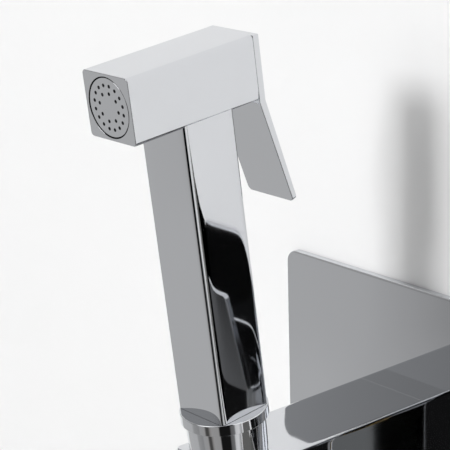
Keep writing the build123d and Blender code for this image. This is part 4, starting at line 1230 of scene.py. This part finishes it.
class OBJECT_OT_bidet_stage(bpy.types.Operator):
    """Sets up wall, floor, reflected room, lamps and camera."""

    bl_idname = "object.bidet_stage"
    bl_label = "Stage, Light and Camera"

    def execute(self, context):
        stage = context.scene.bidet_stage
        self.make_wall_and_floor(stage)
        self.make_room(stage)
        self.make_cards()
        self.make_light(context, stage)
        self.make_camera(context)
        context.scene.view_settings.view_transform = "Standard"
        return {"FINISHED"}

    def make_wall_and_floor(self, stage):
        tone = stage.wall_tone
        wall = plain_stage_material("white_wall", (tone, tone, tone * 1.003), 1.0)
        # The wall is clear from behind, so that the pieces inside it can be looked at.
        tree = wall.node_tree
        side = add_node(tree, "ShaderNodeNewGeometry")
        clear = add_node(tree, "ShaderNodeBsdfTransparent")
        choose = add_node(tree, "ShaderNodeMixShader", {
            "Fac": side.outputs["Backfacing"],
            1: tree.nodes["Principled BSDF"].outputs["BSDF"],
            2: clear.outputs["BSDF"],
        })
        tree.links.new(choose.outputs["Shader"], tree.nodes["Material Output"].inputs["Surface"])
        back = 0.0004
        low = -0.6
        corners = [(-2.5, back, low), (2.5, back, low), (2.5, back, 2.0), (-2.5, back, 2.0)]
        stage_plane("room_wall", corners, wall)
        floor = plain_stage_material("pale_floor", (0.8, 0.8, 0.79), 0.8)
        corners = [(-4.0, -4.0, low), (4.0, -4.0, low), (4.0, 4.0, low), (-4.0, 4.0, low)]
        ground = stage_plane("room_floor", corners, floor)
        ground.visible_glossy = False

    def make_room(self, stage):
        mesh = bmesh.new()
        bmesh.ops.create_uvsphere(mesh, u_segments=64, v_segments=32, radius=ROOM_RADIUS)
        data = bpy.data.meshes.new("reflected_room")
        mesh.to_mesh(data)
        mesh.free()
        material = empty_material("reflected_room")
        tree = material.node_tree
        coordinates = add_node(tree, "ShaderNodeTexCoord")
        parts = add_node(tree, "ShaderNodeSeparateXYZ", {"Vector": coordinates.outputs["Object"]})

        def maths(operation, *values):
            node = add_node(tree, "ShaderNodeMath", dict(enumerate(values)), operation=operation)
            return node.outputs["Value"]

        front = maths("MULTIPLY", parts.outputs["Y"], -1.0)
        azimuth = maths("ARCTAN2", parts.outputs["X"], front)
        turn = maths("MULTIPLY_ADD", azimuth, 0.5 / math.pi, 0.5)
        height = maths("DIVIDE", parts.outputs["Z"], ROOM_RADIUS)

        def above(low, high):
            """Rises from 0 to 1 between two elevations."""
            return add_node(tree, "ShaderNodeMapRange", {
                "From Min": math.sin(math.radians(low)), "From Max": math.sin(math.radians(high)),
                "Value": height,
            }, interpolation_type="SMOOTHSTEP").outputs["Result"]

        low_tone = tone_ramp(tree, LOW_ROOM, turn)
        high_tone = tone_ramp(tree, HIGH_ROOM, turn)
        sky_tone = tone_ramp(tree, SKY_ROOM, turn)
        tone = mixed(tree, above(-24.5, -21.5), low_tone, high_tone)
        tone = mixed(tree, above(5, 12), tone, sky_tone)
        end_in_glow(tree, tone, 2.0 * stage.surround_level)
        data.materials.append(material)
        room = add_object("reflected_room", data)
        room.location = (-0.036, -0.09, 0.06)
        show_to_mirrors(room)

    def make_cards(self):
        """Cards that only mirrors see, as a photographer sets them to keep a polished side dark."""
        for name, level, near, far, low, high in (
            ("black_card", 0.0, (-87.0, -98.0), (-62.0, -124.0), -100.0, -54.0),
            ("dim_card", 0.28, (-112.0, -76.0), (-87.0, -98.0), -100.0, -54.0),
            ("side_card", 0.0, (97.6, -3.0), (157.0, -2.0), -47.0, 47.0),
            ("far_side_card", 0.16, (157.0, -2.0), (330.0, -2.0), -47.0, 47.0),
            ("low_card", 0.12, (16.0, -1.0), (110.0, -1.0), -420.0, -49.0),
            ("far_low_card", 0.15, (110.0, -1.0), (600.0, -1.0), -420.0, -62.0),
        ):
            card = empty_material(name)
            end_in_glow(card.node_tree, (level, level, level * 0.95, 1.0), 1.0)
            corners = [
                (x * MM, y * MM, z * MM)
                for x, y, z in ((*near, low), (*far, low), (*far, high), (*near, high))
            ]
            show_to_mirrors(stage_plane(name, corners, card))

    def make_light(self, context, stage):
        world = bpy.data.worlds.new("even_light")
        world.use_nodes = True
        tree = world.node_tree
        rays = add_node(tree, "ShaderNodeLightPath").outputs
        inputs = {0: rays["Is Glossy Ray"], 1: rays["Is Transmission Ray"]}
        mirrored = add_node(tree, "ShaderNodeMath", inputs, operation="MAXIMUM")
        inputs = {0: rays["Is Camera Ray"], 1: mirrored.outputs["Value"]}
        seen = add_node(tree, "ShaderNodeMath", inputs, operation="MAXIMUM")
        level = add_node(tree, "ShaderNodeMapRange", {
            "To Min": stage.fill_level, "To Max": 1.0, "Value": seen.outputs["Value"],
        })
        background = tree.nodes["Background"]
        background.inputs["Color"].default_value = (1.0, 1.0, 1.0, 1.0)
        tree.links.new(level.outputs["Result"], background.inputs["Strength"])
        context.scene.world = world
        target = Vector((0.0, -0.05, 0.06))
        for name, azimuth, elevation, size, level in (
            ("front_lamp", 0.8, 23.0, 0.45, stage.key_level),
            ("side_lamp", -7.0, 21.0, 1.6, stage.side_level),
            ("rear_lamp", 150.0, 35.0, 1.6, 0.7),
        ):
            a, e = math.radians(azimuth), math.radians(elevation)
            way = Vector((math.sin(a) * math.cos(e), -math.cos(a) * math.cos(e), math.sin(e)))
            lamp = bpy.data.lights.new(name, "AREA")
            lamp.shape = "SQUARE"
            lamp.size = size
            lamp.energy = level * (math.pi * LAMP_DISTANCE) ** 2
            made = add_object(name, lamp)
            made.location = target + way * LAMP_DISTANCE
            made.rotation_mode = "QUATERNION"
            made.rotation_quaternion = way.to_track_quat("Z", "Y")
            made.visible_glossy = False

    def make_camera(self, context):
        lens = bpy.data.cameras.new("photo_camera")
        lens.sensor_width = 36.0
        lens.lens = 142.04
        lens.clip_start = 0.01
        lens.clip_end = 20.0
        camera = add_object("photo_camera", lens)
        right = Vector((0.65568, 0.75454, -0.02767))
        down = Vector((0.20343, -0.21183, -0.9559))
        ahead = Vector((-0.72712, 0.62113, -0.29239))
        turned = Matrix((right, -down, -ahead)).transposed()
        camera.rotation_mode = "QUATERNION"
        camera.rotation_quaternion = turned.to_quaternion().normalized()
        camera.location = (0.34688, -0.41203, 0.24140)
        context.scene.camera = camera


PIECES = (
    OBJECT_OT_bidet_frame_finishes,
    OBJECT_OT_bidet_head,
    OBJECT_OT_bidet_thumb_lever,
    OBJECT_OT_bidet_handle,
    OBJECT_OT_bidet_bar,
    OBJECT_OT_bidet_plate,
    OBJECT_OT_bidet_control,
    OBJECT_OT_bidet_outlet,
    OBJECT_OT_bidet_springs,
    OBJECT_OT_bidet_screws,
    OBJECT_OT_bidet_stage,
)


class VIEW3D_PT_bidet_shower(bpy.types.Panel):
    """Lists the settings and the pieces."""

    bl_idname = "VIEW3D_PT_bidet_shower"
    bl_label = "Bidet Shower"
    bl_space_type = "VIEW_3D"
    bl_region_type = "UI"
    bl_category = "Bidet Shower"

    def draw(self, context):
        for settings in (context.scene.bidet_finish, context.scene.bidet_shape, context.scene.bidet_stage):
            box = self.layout.box()
            for name in settings.__annotations__:
                box.prop(settings, name)
        for piece in PIECES:
            self.layout.operator(piece.bl_idname)


SETTINGS = (FinishSettings, ShapeSettings, StageSettings)


def register():
    """Adds the settings, the operators and the panel."""
    for kind in SETTINGS + PIECES + (VIEW3D_PT_bidet_shower,):
        bpy.utils.register_class(kind)
    bpy.types.Scene.bidet_finish = PointerProperty(type=FinishSettings)
    bpy.types.Scene.bidet_shape = PointerProperty(type=ShapeSettings)
    bpy.types.Scene.bidet_stage = PointerProperty(type=StageSettings)


def unregister():
    """Takes them out again."""
    del bpy.types.Scene.bidet_stage
    del bpy.types.Scene.bidet_shape
    del bpy.types.Scene.bidet_finish
    for kind in reversed(SETTINGS + PIECES + (VIEW3D_PT_bidet_shower,)):
        bpy.utils.unregister_class(kind)


def main():
    """Builds every piece."""
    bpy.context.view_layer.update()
    register()
    for piece in PIECES:
        group, name = piece.bl_idname.split(".")
        getattr(getattr(bpy.ops, group), name)()


if __name__ == "__main__":
    main()
